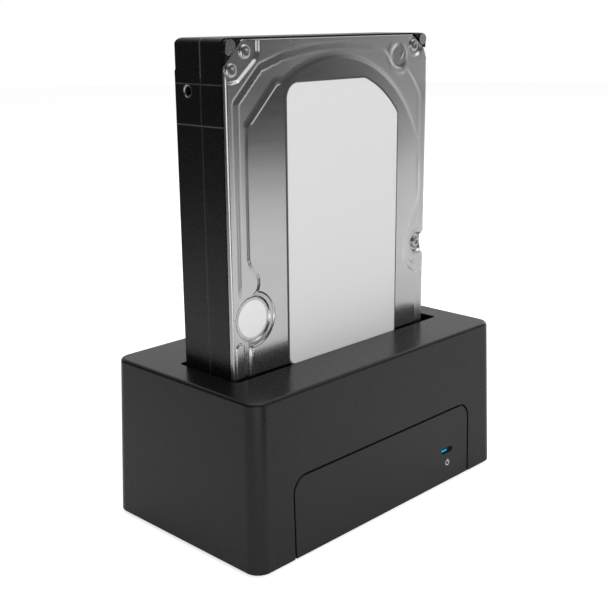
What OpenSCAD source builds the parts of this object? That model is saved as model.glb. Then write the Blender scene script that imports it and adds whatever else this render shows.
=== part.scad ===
// Single-bay hard drive docking station with a 3.5 inch drive standing in it.
// Origin: centre of the rubber feet, on the table. +Z is up, the lit front faces -Y, and
// the end that the drive is pushed against is -X.

/* [Housing] */
// Width of the top beyond each end of the slot
rim_l = 10.75; // [9:0.05:16]
// Mean width of the top in front of and behind the slot
rim_w = 21.7; // [21:0.05:28]
// Height of the top above the table
dock_h = 61; // [58:0.5:72]
// Draft of the moulded walls, in degrees
draft = 1.72; // [0.8:0.02:2.6]
// Radius of the upright corners
corner_r = 5.5; // [4:0.1:9]
// Radius of the edge round the top
edge_r = 1.2; // [0.5:0.1:1.8]
// Thickness of the side walls
wall_t = 2.4; // [2.2:0.1:3]
// Thickness of the top wall
top_t = 2.6; // [2:0.1:3.5]

/* [Slot] */
// Room that the slot leaves a drive, along and across
slot_room = [7.9, 4.4]; // [3:0.1:10]
// Middle of the slot along the housing
slot_x = 0.3; // [-2:0.1:2]
// Middle of the slot across the housing
slot_y = -1.4; // [-3:0.1:1]
// Radius of the slot's corners
slot_r = 1.6; // [0.5:0.1:3]
// Thickness of the well's walls and floor
well_t = 1.8; // [1.2:0.1:2.2]
// Width of the well's flange under the top
well_flange = 3; // [2:0.1:3.5]
// Height of the end rib that keeps the drive against the left end
end_rib_h = 15; // [8:0.5:18]
// Number of guide ribs on the well's back wall
guide_ribs = 6; // [3:1:9]
// Width of a guide rib
rib_w = 1.6; // [1:0.1:3]

/* [Front inlay] */
// Distance of the inlay panel from each end of the top
inlay_in = 16.5; // [13:0.5:20]
// Height of the inlay's top edge above the table
inlay_top = 30.7; // [27:0.1:38]
// Radius of the inlay's upper corners
inlay_r = 5.5; // [2:0.1:9]
// Width of the groove round the inlay
groove_w = 0.7; // [0.4:0.05:1.2]
// Thickness of the inlay
inlay_t = 1.4; // [1:0.1:1.6]
// Width of the ledge that the inlay sits on
ledge_w = 2.5; // [1.5:0.1:4]
// Distance of the indicator window's middle from the inlay's right edge
window_in = 13.25; // [8:0.25:40]
// Height of the indicator window above the table
window_z = 14.7; // [13.5:0.1:15.2]
// Length of the indicator window
window_l = 6.5; // [4:0.1:9]
// Height of the indicator window
window_h = 1.8; // [1.2:0.1:2.2]

/* [Base] */
// Height of the rubber feet below the base
foot_h = 1.5; // [1:0.1:2.5]
// Radius of a rubber foot
foot_r = 5; // [4:0.1:6]
// Depth of the recess that a foot sits in
foot_recess = 0.6; // [0.4:0.1:1]
// Distance of the feet in from the edge of the top, along and across
foot_in = [15.5, 10.45]; // [9:0.05:25]
// Thickness of the base cover
base_t = 2; // [1.8:0.1:2.6]
// Gap round the base cover in the housing
base_gap = 0.2; // [0.1:0.05:0.4]
// Distance of the base screws in from the edge of the top, along and across
base_screw_in = [6.7, 7.15]; // [6.7:0.05:12]
// Radius of a screw pillar
pillar_r = 3.4; // [3:0.1:3.6]
// Radius of the base screws' shanks
base_screw_r = 1.25; // [1:0.05:1.5]
// Length of a base screw under its head
base_screw_l = 10; // [6:0.5:14]
// Vent slots along the base
vent_count = 9; // [4:1:14]
// Size of a vent slot
vent_size = [2.2, 16]; // [1.5:0.1:18]

/* [Main board] */
// Distance of the board's edges in from the edge of the top, along and across
board_in = [12.5, 8.95]; // [8:0.05:20]
// Thickness of the board
board_t = 1.6; // [1:0.1:2]
// Height of the board's top above the table
board_z = 18; // [17.6:0.1:18.4]
// Distance of the board screws in from the board's edges, along and across
board_screw_in = [5, 4]; // [3:0.5:10]
// Radius of a board screw's shank
board_screw_r = 1; // [0.8:0.05:1.3]
// Side of the bridge chip
chip_side = 10; // [7:0.5:14]
// Leads along one side of the bridge chip
chip_leads = 12; // [6:1:16]
// Place of the bridge chip
chip_at = [-22, -21]; // [-40:0.5:40]
// Place of the crystal
crystal_at = [-8, -23]; // [-40:0.5:40]
// Length, width and height of the crystal
crystal_size = [10.6, 4.4, 3.2]; // [2:0.1:12]
// Places of the inductors
inductor_at = [[22, -22], [32, -22]]; // [-40:0.5:40]
// Side and height of an inductor
inductor_size = [7, 3.8]; // [2:0.1:10]
// Places of the capacitors
capacitor_at = [[26, 24], [-14, 24], [-6, 24]]; // [-40:0.5:40]
// Radius and height of a capacitor
capacitor_size = [3.1, 7.6]; // [2:0.1:9]
// Place of the voltage regulator
regulator_at = [8, -22]; // [-40:0.5:40]
// Length, width and height of the voltage regulator
regulator_size = [6.6, 6, 2.2]; // [1:0.1:8]

/* [Ports] */
// Place of the data port along the back
usb_x = 12; // [-5:0.5:20]
// Distances of the power jack and the switch from the board's ends
port_in = [15, 19]; // [12:0.5:24]
// Outer width and height of the data port's lower part
usb_low = [12, 8.4]; // [8:0.1:12.5]
// Outer width and height of the data port's upper part
usb_high = [8.8, 4.2]; // [4:0.1:9]
// Thickness of the data port's metal shell
usb_t = 0.4; // [0.3:0.05:0.6]
// Depth of the data port
usb_d = 17.6; // [15:0.1:18.5]
// Width, depth and height of the power jack
jack_size = [9, 14, 11]; // [8:0.1:14.5]
// Radius of the power jack's bore
jack_bore_r = 3.15; // [2.9:0.05:3.3]
// Radius of the power jack's centre pin
jack_pin_r = 1.05; // [0.8:0.05:1.3]
// Length and height of the rocker
rocker_size = [10.6, 7.2]; // [6:0.1:12]
// Tilt of the rocker to either side
rocker_tilt = 8; // [5:0.5:10]
// Radius of the rocker's pivot pins
rocker_pin_r = 0.8; // [0.6:0.05:1]
// Clearance round what turns or slides
run_gap = 0.05; // [0.03:0.01:0.08]

/* [Drive] */
// Width of the drive
drive_w = 101.6; // [101:0.1:102]
// Length of the drive
drive_l = 147; // [146:0.1:148]
// Thickness of the drive
drive_t = 26.1; // [25.6:0.1:26.1]
// Gap between the drive and the slot's left end
drive_gap_x = 0.35; // [0.2:0.05:2]
// Gap between the cover and the slot's front side
drive_gap_y = 1.02; // [0.6:0.02:1.5]
// Gap between the drive and the well's floor
seat_gap = 0.1; // [0.05:0.05:0.3]
// Height of the well's floor above the table
floor_z = 26.2; // [25.6:0.1:26.8]
// Distance of the side screw holes from the connector end
side_hole_v = [28.5, 130.1]; // [25:0.1:135]
// Distance of the side screw holes from the board side
side_hole_d = 6.35; // [6:0.05:7]
// Distance of the bottom screw holes from the connector end
bottom_hole_v = [41.28, 85.73]; // [38:0.01:90]
// Distance of the bottom screw holes from the drive's sides
bottom_hole_u = 3.18; // [3:0.01:3.4]
// Radius of the drive's tapped screw holes
tap_r = 1.4; // [1.3:0.05:1.5]
// Depth of the drive's tapped screw holes
tap_depth = 3.8; // [3:0.1:4.2]
// Height of the machined pads round the side screw holes
pad_t = 0.2; // [0.1:0.05:0.4]
// Depth of the step near the top of the casting's back
back_step = 0.4; // [0.2:0.05:0.8]
// Radius of the casting's upper back edge
back_r = 2.2; // [1:0.1:3]
// Gap from the drive's side to its circuit board
board_side = 6; // [5.8:0.1:8]
// Length of the drive's circuit board
board_top = 99.6; // [99:0.2:110]

/* [Drive cover] */
// Depth of the pressed levels below the label: plateau, band, step, rim, screw pads
level_d = [0.15, 0.6, 0.9, 1.2, 1.9]; // [0.1:0.05:2.2]
// Depth of the cover's underside
cover_d = 2.6; // [2.4:0.05:3]
// Thickness of the gasket
gasket_t = 0.4; // [0.3:0.05:0.6]
// Distance of the pressed arc inside the platters' edge
arc_in = 0.1; // [0:0.05:1]
// Middle of the round seal
seal_at = [9.3, 54.8]; // [9:0.1:58]
// Radius of the round seal
seal_r = 6.5; // [5:0.1:7]
// Radius of the pocket round the seal
seal_pocket_r = 9.8; // [8:0.1:10.5]
// Distances of the cover screws from the nearest side and end of the drive
cover_screw_in = [[3, 10], [9.1, 4.4], [6.8, 4.5], [3.8, 67.3], [4.2, 4.4], [4.4, 4.4]]; // [2:0.1:70]
// Radius and height of a cover screw's head
cover_head = [2.4, 0.9]; // [0.8:0.1:2.8]
// Distances of the label from the drive's left side and connector end
label_at = [25.2, 33.6]; // [5:0.1:45]
// Corner radii of the label, upper left and lower left
label_r = [6, 3.5]; // [1:0.1:8]
// Distance of the label inside the pressed arc
label_in = 5.2; // [4:0.1:12]
// Directions from the spindle at which the label's right and top edges meet its arc
label_a = [38.1, 69.8]; // [30:0.1:75]
// Thickness of the label and the seal
label_t = 0.15; // [0.1:0.05:0.2]

/* [Drive mechanism] */
// Distance of the spindle from the connector end
spindle_v = 93; // [92:0.1:94]
// Least distance from the platters to the drive's sides and to its far end
platter_in = [3.3, 6.5]; // [3:0.1:8]
// Thickness of a platter
platter_t = 1.27; // [0.8:0.01:1.4]
// Depths of the platters' upper faces
platter_d = [8, 12.5]; // [7:0.1:13]
// Radius of the hub that carries the platters
hub_r = 12.5; // [12:0.1:13]
// Radius of the hub's flange, the spacer and the clamp ring
flange_r = 15.6; // [15:0.1:16]
// Radius of the fixed spindle shaft
shaft_r = 2.5; // [2:0.1:3]
// Depth of the cavity's floor
cavity_d = 20.5; // [20:0.1:21]
// Gap between the platters and the cavity's wall
cavity_gap = 1.1; // [0.8:0.1:1.2]
// Distances of the actuator's pivot from the drive's right side and connector end
pivot_in = [25.6, 38]; // [24:0.1:40]
// Radius of the pivot post
pivot_r = 3; // [2.5:0.1:3.5]
// Distance from the pivot to the heads
arm_l = 53; // [51:0.1:54]
// Turn of the parked arm from the line between pivot and spindle, in degrees
park_turn = 51.4; // [50:0.1:53]
// Half of the angle that the coil spans
coil_a = 19; // [14:0.5:20]
// Inner and outer radius of the coil
coil_r = [9, 19.2]; // [8:0.1:19.6]
// Width, length and height of the breather filter
filter_size = [12, 16, 6.5]; // [4:0.5:18]
// Middles, sides and thickness of the chips on the drive's board
drive_chips = [[34, 40, 14, 14, 1.6], [60, 34, 9, 9, 1.2], [54, 56, 11, 8, 1.2],
  [24, 60, 8, 8, 1]]; // [1:0.1:70]
// First one, spacing and size of the row of small parts on the drive's board
drive_chip_row = [44, 20, 4, 2, 1.2]; // [1:0.1:60]

/* [Drive connector] */
// Middle of the plug along the drive's width
plug_u = 28; // [26:0.1:30]
// Middle of the plug from the board side
plug_e = 4.1; // [3.9:0.1:4.3]
// Length of the power blade and of the signal blade
blade_l = [20.2, 10]; // [8:0.1:21]
// Thickness of a blade
blade_t = 1.2; // [1:0.05:1.4]
// Gap between the two blades
blade_space = 2.4; // [1.8:0.1:3]
// Clearance round a blade in its slot
blade_gap = 0.2; // [0.1:0.05:0.3]
// Depth that the receptacle enters the drive
plug_depth = 4.7; // [4:0.1:5.2]

/* [Hidden] */
$fn = 64;
eps = 0.01;
slope = tan(draft);
slot_l = drive_w + slot_room[0];
slot_w = drive_t + slot_room[1];
top_l = slot_l + 2 * rim_l;
top_w = slot_w + 2 * rim_w;
inlay_l = top_l - 2 * inlay_in;
window_x = inlay_l / 2 - window_in;
foot_at = [top_l, top_w] / 2 - foot_in;
base_screw_at = [top_l, top_w] / 2 - base_screw_in;
board_size = [top_l, top_w] - 2 * board_in;
board_screw_at = board_size / 2 - board_screw_in;
port_x = [usb_x, board_size[0] / 2 - port_in[0], port_in[1] - board_size[0] / 2];
inner_top = dock_h - top_t;
base_top = foot_h + base_t;
pillar_z = base_top + 2;
board_bottom = board_z - board_t;
drive_x = slot_x - slot_l / 2 + drive_gap_x;
drive_y = slot_y - slot_w / 2 + drive_gap_y;
drive_z = floor_z + seat_gap;
gasket_d = cover_d + gasket_t;
board_d = drive_t - 1.1;
spindle_at = [drive_w / 2, spindle_v];
platter_r = min(drive_w / 2 - platter_in[0], drive_l - spindle_v - platter_in[1]);
arc_r = platter_r - arc_in;
pivot_at = [drive_w - pivot_in[0], pivot_in[1]];
park_a = atan2(spindle_at[1] - pivot_at[1], spindle_at[0] - pivot_at[0]) + park_turn;
cover_screw_at = [for (i = [0:len(cover_screw_in) - 1]) let (p = cover_screw_in[i])
  [i == 2 || i == 3 || i == 5 ? drive_w - p[0] : p[0], i < 3 ? drive_l - p[1] : p[1]]];
dimple_at = [drive_w - 16.2, drive_l - 7.7];
led_y = -board_size[1] / 2;
plug_x = drive_x + plug_u;
plug_y = drive_y + drive_t - plug_e;
blades_l = blade_l[0] + blade_l[1] + blade_space;
block_size = [blades_l + 3, 5.6];
usb_y = half_w(board_z + 6) - 0.3;
jack_z = board_z + jack_size[2] / 2 + 0.8;
switch_y = half_w(board_z + 7) - 4.3;
switch_z = board_z + 6.4;
coil_mid_d = (platter_d[0] + platter_t + platter_d[1]) / 2;
arm_d = [platter_d[0] - 2.2, coil_mid_d - 0.6, platter_d[1] + platter_t + 0.9];
arm_t = 1.2;
suspension_d = [arm_d[0] + arm_t, arm_d[1] - 0.2, arm_d[1] + arm_t, arm_d[2] - 0.2];
drive_board_screw_at = [[9, 16], [drive_w - 9, 16], [9, board_top - 3.6],
  [drive_w - 12, board_top - 27.6], spindle_at + [9.2, -17.5]];

// Half of the housing's length and depth at a height
function half_l(z) = top_l / 2 + (dock_h - z) * slope;
function half_w(z) = top_w / 2 + (dock_h - z) * slope;
// Points of an arc
function arc(c, r, a0, a1, n = 16) =
  [for (i = [0:n]) c + r * [cos(a0 + (a1 - a0) * i / n), sin(a0 + (a1 - a0) * i / n)]];
// A point at a distance and an angle from another
function polar(c, r, a) = c + r * [cos(a), sin(a)];

module round_rect(l, w, r) {
  square([l - 2 * r, w], center = true);
  square([l, w - 2 * r], center = true);
  for (x = [-1, 1], y = [-1, 1]) translate([x * (l / 2 - r), y * (w / 2 - r)]) circle(r);
}

// Solid of the housing's outside, drawn in by an inset, between two heights
module drafted(inset, z0, z1, round = 0) {
  steps = round > 0 ? [for (a = [0, 30, 60, 90]) [z1 - round * (1 - sin(a)), round * (1 - cos(a))]]
    : [[z1, 0]];
  r = max(corner_r - inset, 0.8);
  hull() {
    translate([0, 0, z0]) linear_extrude(eps)
      round_rect(2 * (half_l(z0) - inset), 2 * (half_w(z0) - inset), r, $fn = 32);
    for (s = steps) translate([0, 0, s[0] - eps]) linear_extrude(eps)
      round_rect(2 * (half_l(s[0]) - inset - s[1]), 2 * (half_w(s[0]) - inset - s[1]),
        r, $fn = 32);
  }
}

// Front view outline of the inlay, grown by a margin; it runs out past the lower edge
module inlay_outline(grow = 0) {
  r = inlay_r + grow;
  w = inlay_l / 2 + grow;
  h = inlay_top + grow;
  square([2 * (w - r), 2 * h], center = true);
  square([2 * w, 2 * (h - r)], center = true);
  for (x = [-1, 1]) translate([x * (w - r), h - r]) circle(r);
}

// Prism of a front view outline through the front wall
module through_front(depth = 12) {
  translate([0, depth - half_w(0) - 2, 0]) rotate([90, 0, 0]) linear_extrude(depth) children();
}

module four(at) { for (x = [-1, 1], y = [-1, 1]) translate([x * at[0], y * at[1], 0]) children(); }

module window_outline(grow = 0) {
  h = window_h + 2 * grow;
  translate([window_x, window_z]) {
    square([window_l - window_h, h], center = true);
    for (x = [-1, 1]) translate([x * (window_l - window_h) / 2, 0]) circle(h / 2);
  }
}

// Stepped outline of the data port
module usb_outline(grow = 0) {
  w = usb_low[0] / 2 + grow;
  v = usb_high[0] / 2 + grow;
  h = usb_low[1];
  top = h + usb_high[1] + grow;
  polygon([[-w, -grow], [w, -grow], [w, h - 1.4], [w - 1.4, h + grow], [v, h + grow], [v, top],
    [-v, top], [-v, h + grow], [1.4 - w, h + grow], [-w, h - 1.4]]);
}

// Turns an outline drawn in x and z into a prism along y, up to y_end
module prism_y(depth, y_end) {
  translate([0, y_end, 0]) rotate([90, 0, 0]) linear_extrude(depth) children();
}

module housing() color([0.13, 0.13, 0.135]) difference() {
  union() {
    difference() {
      drafted(0, foot_h, dock_h, edge_r);
      drafted(wall_t, foot_h - 1, inner_top);
    }
    four(base_screw_at) translate([0, 0, pillar_z])
      cylinder(h = inner_top - pillar_z + 0.5, r = pillar_r);
    for (x = [-1, 1], y = [-1, 1]) translate([x * base_screw_at[0], y * base_screw_at[1], pillar_z])
      translate([x > 0 ? 0 : -pillar_r - 1.6, -0.7, 0])
        cube([pillar_r + 1.6, 1.4, inner_top - pillar_z]);
  }
  translate([slot_x, slot_y, inner_top - 1]) linear_extrude(top_t + 2)
    round_rect(slot_l, slot_w, slot_r);
  difference() {
    through_front() inlay_outline(groove_w);
    drafted(inlay_t + 0.1, -1, dock_h - 10);
  }
  through_front() difference() {
    inlay_outline(-ledge_w);
    translate([-top_l, -10]) square([2 * top_l, base_top + 11]);
  }
  four(base_screw_at) translate([0, 0, pillar_z - eps])
    cylinder(h = base_screw_l, r = base_screw_r + run_gap);
  translate([port_x[0], 0, board_z]) prism_y(8, half_w(0) + 2) usb_outline(0.25);
  translate([port_x[1] - jack_size[0] / 2 - 0.2, half_w(0) - 6, board_z - 0.2])
    cube([jack_size[0] + 0.4, 8, jack_size[2] + 0.4]);
  translate([port_x[2], half_w(0) - 3, switch_z])
    cube([rocker_size[0] + 4.4, 14, rocker_size[1] + 3.4], center = true);
}

module drive_well() color([0.09, 0.09, 0.095]) {
  outer = [slot_l + 2 * well_t, slot_w + 2 * well_t];
  difference() {
    translate([slot_x, slot_y, 0]) {
      translate([0, 0, floor_z - well_t]) linear_extrude(inner_top - floor_z + well_t)
        round_rect(outer[0], outer[1], slot_r + well_t);
      translate([0, 0, inner_top - 1.4]) linear_extrude(1.4)
        round_rect(outer[0] + 2 * well_flange, outer[1] + 2 * well_flange,
          slot_r + well_t + well_flange);
    }
    translate([slot_x, slot_y, floor_z]) linear_extrude(dock_h) round_rect(slot_l, slot_w, slot_r);
    translate([plug_x, plug_y, floor_z])
      cube([block_size[0] + 0.6, block_size[1] + 0.6, 3 * well_t], center = true);
  }
  rib_y = drive_y + drive_t + 0.4;
  back = slot_y + slot_w / 2 + 0.2;
  for (i = [0:guide_ribs - 1])
    translate([drive_x + 8 + i * (drive_w - 16) / (guide_ribs - 1) - rib_w / 2, rib_y, floor_z - 0.2])
      intersection() {
        cube([rib_w, back - rib_y, inner_top - floor_z - 6]);
        rotate([90, 0, 90]) linear_extrude(rib_w)
          polygon([[0, 0], [0, 20], [back - rib_y, inner_top - floor_z - 6], [back - rib_y, 0]]);
      }
  rib_x = drive_x + drive_w + 0.5;
  right = slot_x + slot_l / 2 + 0.2;
  for (y = [-9, 0, 9]) translate([rib_x, slot_y + y - rib_w / 2, floor_z - 0.2])
    cube([right - rib_x, rib_w, end_rib_h]);
}

module front_inlay() color([0.12, 0.12, 0.125]) difference() {
  intersection() {
    drafted(0.02, foot_h, dock_h - 10);
    through_front() inlay_outline();
  }
  drafted(inlay_t, -1, dock_h - 9);
  through_front() window_outline(0.1);
}

module base_cover() color([0.1, 0.1, 0.105]) {
  l = 2 * (half_l(base_top) - wall_t - base_gap);
  w = 2 * (half_w(base_top) - wall_t - base_gap);
  difference() {
    union() {
      translate([0, 0, foot_h]) linear_extrude(base_t) round_rect(l, w, corner_r - wall_t);
      translate([0, 0, base_top - eps]) linear_extrude(1.4) difference() {
        round_rect(l - 8, w - 8, corner_r - wall_t);
        round_rect(l - 10.4, w - 10.4, corner_r - wall_t);
      }
      four(base_screw_at) translate([0, 0, foot_h]) cylinder(h = pillar_z - foot_h, r = pillar_r);
      four(board_screw_at) translate([0, 0, foot_h + 0.5]) {
        cylinder(h = board_bottom - foot_h - 0.5, r = 3);
        for (a = [0, 90]) rotate(a) translate([-4.6, -0.6, 0]) cube([9.2, 1.2, 8]);
      }
    }
    four(base_screw_at) translate([0, 0, foot_h - 1]) {
      cylinder(h = 3, r = 2.9);
      cylinder(h = 6, r = base_screw_r + 0.3);
    }
    four(board_screw_at) translate([0, 0, board_bottom - 8]) cylinder(h = 9, r = board_screw_r + run_gap);
    four(foot_at) translate([0, 0, foot_h - 1]) cylinder(h = 1 + foot_recess, r = foot_r + 0.1);
    for (i = [0:vent_count - 1], s = [-1, 1])
      translate([(i - (vent_count - 1) / 2) * 2.6 * vent_size[0], s * 13, foot_h - 1])
        linear_extrude(base_t + 2) round_rect(vent_size[0], vent_size[1], vent_size[0] / 2 - eps);
  }
}

module rubber_feet() color([0.16, 0.16, 0.16]) four(foot_at) rotate_extrude()
  polygon([[0, 0], [foot_r - 0.5, 0], [foot_r, 0.5], [foot_r, foot_h + foot_recess],
    [0, foot_h + foot_recess]]);

module base_screws() color([0.55, 0.55, 0.57]) four(base_screw_at) translate([0, 0, foot_h + 0.4]) {
  difference() {
    cylinder(h = 1.6, r = 2.6);
    translate([0, 0, -eps]) cross_recess(1.6, 1);
  }
  cylinder(h = 1.6 + base_screw_l, r = base_screw_r);
}

// Crossed driver recess cut into a screw head from below
module cross_recess(size, depth) {
  for (a = [0, 90]) rotate(a) translate([-size, -size / 5, 0]) cube([2 * size, size / 2.5, depth]);
}

module light_pipe() color([0.3, 0.6, 0.9, 0.8]) {
  back = led_y + 0.4;
  front = -half_w(window_z) + 0.15;
  translate([0, back, 0]) rotate([90, 0, 0]) linear_extrude(back - front) window_outline();
}

module status_led() color([0.9, 0.95, 1]) {
  translate([window_x - 1.5, led_y + 0.6, window_z - 0.9]) cube([3, 1.6, board_bottom - window_z + 0.9]);
}

module main_board() color([0.05, 0.3, 0.16]) difference() {
  translate([-board_size[0] / 2, -board_size[1] / 2, board_bottom])
    cube([board_size[0], board_size[1], board_t]);
  four(board_screw_at) translate([0, 0, board_bottom - 1])
    cylinder(h = board_t + 2, r = board_screw_r + 0.25);
}

module board_screws() color([0.75, 0.75, 0.77]) four(board_screw_at) translate([0, 0, board_z]) {
  difference() {
    cylinder(h = 1.4, r = 2.1);
    translate([0, 0, 0.6]) cross_recess(1.3, 1);
  }
  translate([0, 0, -6]) cylinder(h = 6.1, r = board_screw_r);
}

// Outline of the two L-shaped blades, seen from below the drive; grown by a margin
module blades(grow = 0) {
  x0 = -blades_l / 2;
  for (b = [[x0, blade_l[0], 1], [x0 + blade_l[0] + blade_space, blade_l[1], -1]]) {
    translate([b[0] - grow, -blade_t / 2 - grow]) square([b[1] + 2 * grow, blade_t + 2 * grow]);
    translate([(b[2] > 0 ? b[0] : b[0] + b[1] - blade_t) - grow, -blade_t / 2 - 1.1 - grow])
      square([blade_t + 2 * grow, blade_t + 1.1]);
  }
}

module sata_receptacle() color([0.07, 0.07, 0.075]) translate([plug_x, plug_y, 0]) {
  difference() {
    union() {
      translate([-block_size[0] / 2, -block_size[1] / 2, board_z])
        cube([block_size[0], block_size[1], drive_z + plug_depth - board_z]);
      translate([-block_size[0] / 2 - 3, -block_size[1] / 2 - 0.8, board_z])
        cube([block_size[0] + 6, block_size[1] + 1.6, 4]);
    }
    translate([0, 0, drive_z - 1]) linear_extrude(plug_depth + 2) blades(blade_gap);
    for (i = [0:21]) translate([contact_x(i) - 0.25, blade_t / 2 + blade_gap - eps, drive_z - 1])
      cube([0.5, 0.5, plug_depth + 2]);
  }
}

// Place of each of the 22 contacts along the plug: 15 on the power blade, 7 on the signal blade
function contact_x(i) = i < 15 ? -blades_l / 2 + 1.8 + i * 1.27
  : -blades_l / 2 + blade_l[0] + blade_space + 0.9 + (i - 15) * 1.27;

module sata_contacts() color([0.9, 0.75, 0.35]) translate([plug_x, plug_y, drive_z - 1 + eps])
  for (i = [0:21]) translate([contact_x(i) - 0.2, blade_t / 2 + blade_gap + 0.05, 0])
    cube([0.4, 0.35, plug_depth + 0.4]);

module usb_port_shell() color([0.72, 0.73, 0.75]) translate([port_x[0], 0, board_z])
  difference() {
    prism_y(usb_d, usb_y) usb_outline();
    translate([0, 0, usb_t]) prism_y(usb_d - usb_t, usb_y + eps) usb_inside();
  }

// Stepped outline of the room inside the data port, drawn in by a margin
module usb_inside(in = 0) {
  w = usb_low[0] / 2 - usb_t - in;
  v = usb_high[0] / 2 - usb_t - in;
  h = usb_low[1] - 2 * usb_t - in;
  top = h + usb_high[1];
  polygon([[-w, in], [w, in], [w, h - 1.4], [w - 1.4, h], [v, h], [v, top], [-v, top], [-v, h],
    [1.4 - w, h], [-w, h - 1.4]]);
}

module usb_port_tongue() color([0.12, 0.3, 0.75]) translate([port_x[0], 0, board_z + usb_t]) {
  back = usb_y - usb_d + usb_t + 0.05;
  h = usb_low[1] - 2 * usb_t;
  prism_y(5, back + 5) usb_inside(0.05);
  translate([-2.8, back + 4.9, h / 2 - 1.6]) cube([5.6, usb_d - 7, 3.2]);
  translate([-2.6, back + 4.9, h + 1.4]) cube([5.2, usb_d - 7, 1.2]);
}

module dc_jack() color([0.08, 0.08, 0.085]) {
  y_end = half_w(jack_z) - 0.3;
  difference() {
    translate([port_x[1] - jack_size[0] / 2, y_end - jack_size[1], board_z])
      cube([jack_size[0], jack_size[1], jack_size[2]]);
    translate([port_x[1], y_end + eps, jack_z]) rotate([90, 0, 0]) cylinder(h = 10, r = jack_bore_r);
  }
}

module dc_jack_pin() color([0.8, 0.8, 0.82])
  translate([port_x[1], half_w(jack_z) - 0.3 - 10 + eps, jack_z])
  rotate([-90, 0, 0]) {
    cylinder(h = 8.6, r = jack_pin_r);
    translate([0, 0, 8.6]) cylinder(h = 0.6, r1 = jack_pin_r, r2 = jack_pin_r - 0.5);
  }

module switch_housing() color([0.08, 0.08, 0.085]) translate([port_x[2], switch_y, switch_z]) {
  l = rocker_size[0] + 1.2;
  h = rocker_size[1] + 0.8;
  difference() {
    union() {
      translate([-l / 2 - 1.4, -8, -h / 2 - 1.1]) cube([l + 2.8, 11.6, h + 2.2]);
      translate([-4, -8, board_z - switch_z]) cube([8, 4, 6]);
    }
    translate([-l / 2, -2.6, -h / 2]) cube([l, 10, h]);
    translate([0, 0, -h / 2 - 0.8]) cylinder(h = h + 1.6, r = rocker_pin_r + run_gap);
  }
}

module switch_rocker() color([0.11, 0.11, 0.115]) translate([port_x[2], switch_y, switch_z])
  rotate([0, 0, -rocker_tilt]) {
    a = rocker_size[0] / 2;
    h = rocker_size[1];
    translate([0, 0, -h / 2]) linear_extrude(h) {
      polygon([[-a, 0], [-a * 0.7, -1], [a * 0.7, -1], [a, 0], [a - 0.3, 3.2], [0, 2.5],
        [0.3 - a, 3.2]]);
      circle(1.8);
    }
    translate([0, 0, -h / 2 - 0.4 - 0.7]) cylinder(h = h + 2.2, r = rocker_pin_r);
  }

module bridge_chip() color([0.06, 0.06, 0.065]) translate([chip_at[0], chip_at[1], board_z]) {
  translate([0, 0, 0.7]) cube([chip_side, chip_side, 1.1], center = true);
  pitch = (chip_side - 2) / (chip_leads - 1);
  for (s = [0:3]) rotate(90 * s) for (i = [0:chip_leads - 1])
    translate([(i - (chip_leads - 1) / 2) * pitch - 0.12, chip_side / 2 - 0.2, 0])
      rotate([90, 0, 90]) linear_extrude(0.24)
        polygon([[0, 0.5], [0.5, 0.5], [0.8, 0], [1.4, 0], [1.4, 0.18], [0.95, 0.18], [0.6, 0.68],
          [0, 0.68]]);
}

module crystal() color([0.8, 0.8, 0.82]) translate([crystal_at[0], crystal_at[1], board_z]) {
  l = crystal_size[0];
  w = crystal_size[1];
  linear_extrude(0.4) round_rect(l, w, w / 2 - 0.1);
  translate([0, 0, 0.4]) linear_extrude(crystal_size[2] - 0.4) round_rect(l - 0.8, w - 0.8, w / 2 - 0.45);
}

module power_inductors() color([0.25, 0.25, 0.26]) for (p = inductor_at)
  translate([p[0], p[1], board_z]) {
    linear_extrude(inductor_size[1] - 0.4) round_rect(inductor_size[0], inductor_size[0], 1.6);
    translate([0, 0, inductor_size[1] - 0.4]) cylinder(h = 0.4, r = inductor_size[0] / 2 - 0.9);
  }

module capacitors() color([0.7, 0.7, 0.72]) for (p = capacitor_at)
  translate([p[0], p[1], board_z]) rotate_extrude() {
    r = capacitor_size[0];
    h = capacitor_size[1];
    polygon([[0, 0], [r, 0], [r, 0.8], [r - 0.15, 1.1], [r, 1.4], [r, h - 0.3], [r - 0.3, h], [0, h]]);
  }

module voltage_regulator() color([0.07, 0.07, 0.075])
  translate([regulator_at[0], regulator_at[1], board_z]) {
    l = regulator_size[0];
    w = regulator_size[1];
    translate([-l / 2, -w / 2, 0]) cube(regulator_size);
    for (x = [1 - l / 2, l / 2 - 1]) translate([x - 0.4, w / 2 - 0.1, 0]) cube([0.8, 2.4, 0.5]);
    translate([0.7 - l / 2, -w / 2 - 1.1, 0]) cube([l - 1.4, 1.2, 0.6]);
  }

// Places what follows in the drive: x along its width, y its depth from the label, z its length
module at_drive() translate([drive_x, drive_y, drive_z]) children();

// Prism of an outline drawn in width and length, between two depths
module slab(d0, d1) translate([0, d1, 0]) rotate([90, 0, 0]) linear_extrude(d1 - d0) children();

// Puts what follows on an axis through a point of the drive, with +Z along the depth
module on_axis(at, d = 0) translate([at[0], d, at[1]]) rotate([-90, 0, 0]) children();

module rect(u0, u1, v0, v1) translate([u0, v0]) square([u1 - u0, v1 - v0]);

module rect_round(u0, u1, v0, v1, r) translate([(u0 + u1) / 2, (v0 + v1) / 2])
  round_rect(u1 - u0, v1 - v0, r);

// Inside of the casting, seen from the cover
module cavity_outline(grow = 0) {
  translate(spindle_at) circle(platter_r + cavity_gap + grow, $fn = 96);
  rect_round(5.2 - grow, drive_w - 5.2 + grow, 11 - grow, 66 + grow, 4);
}

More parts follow.
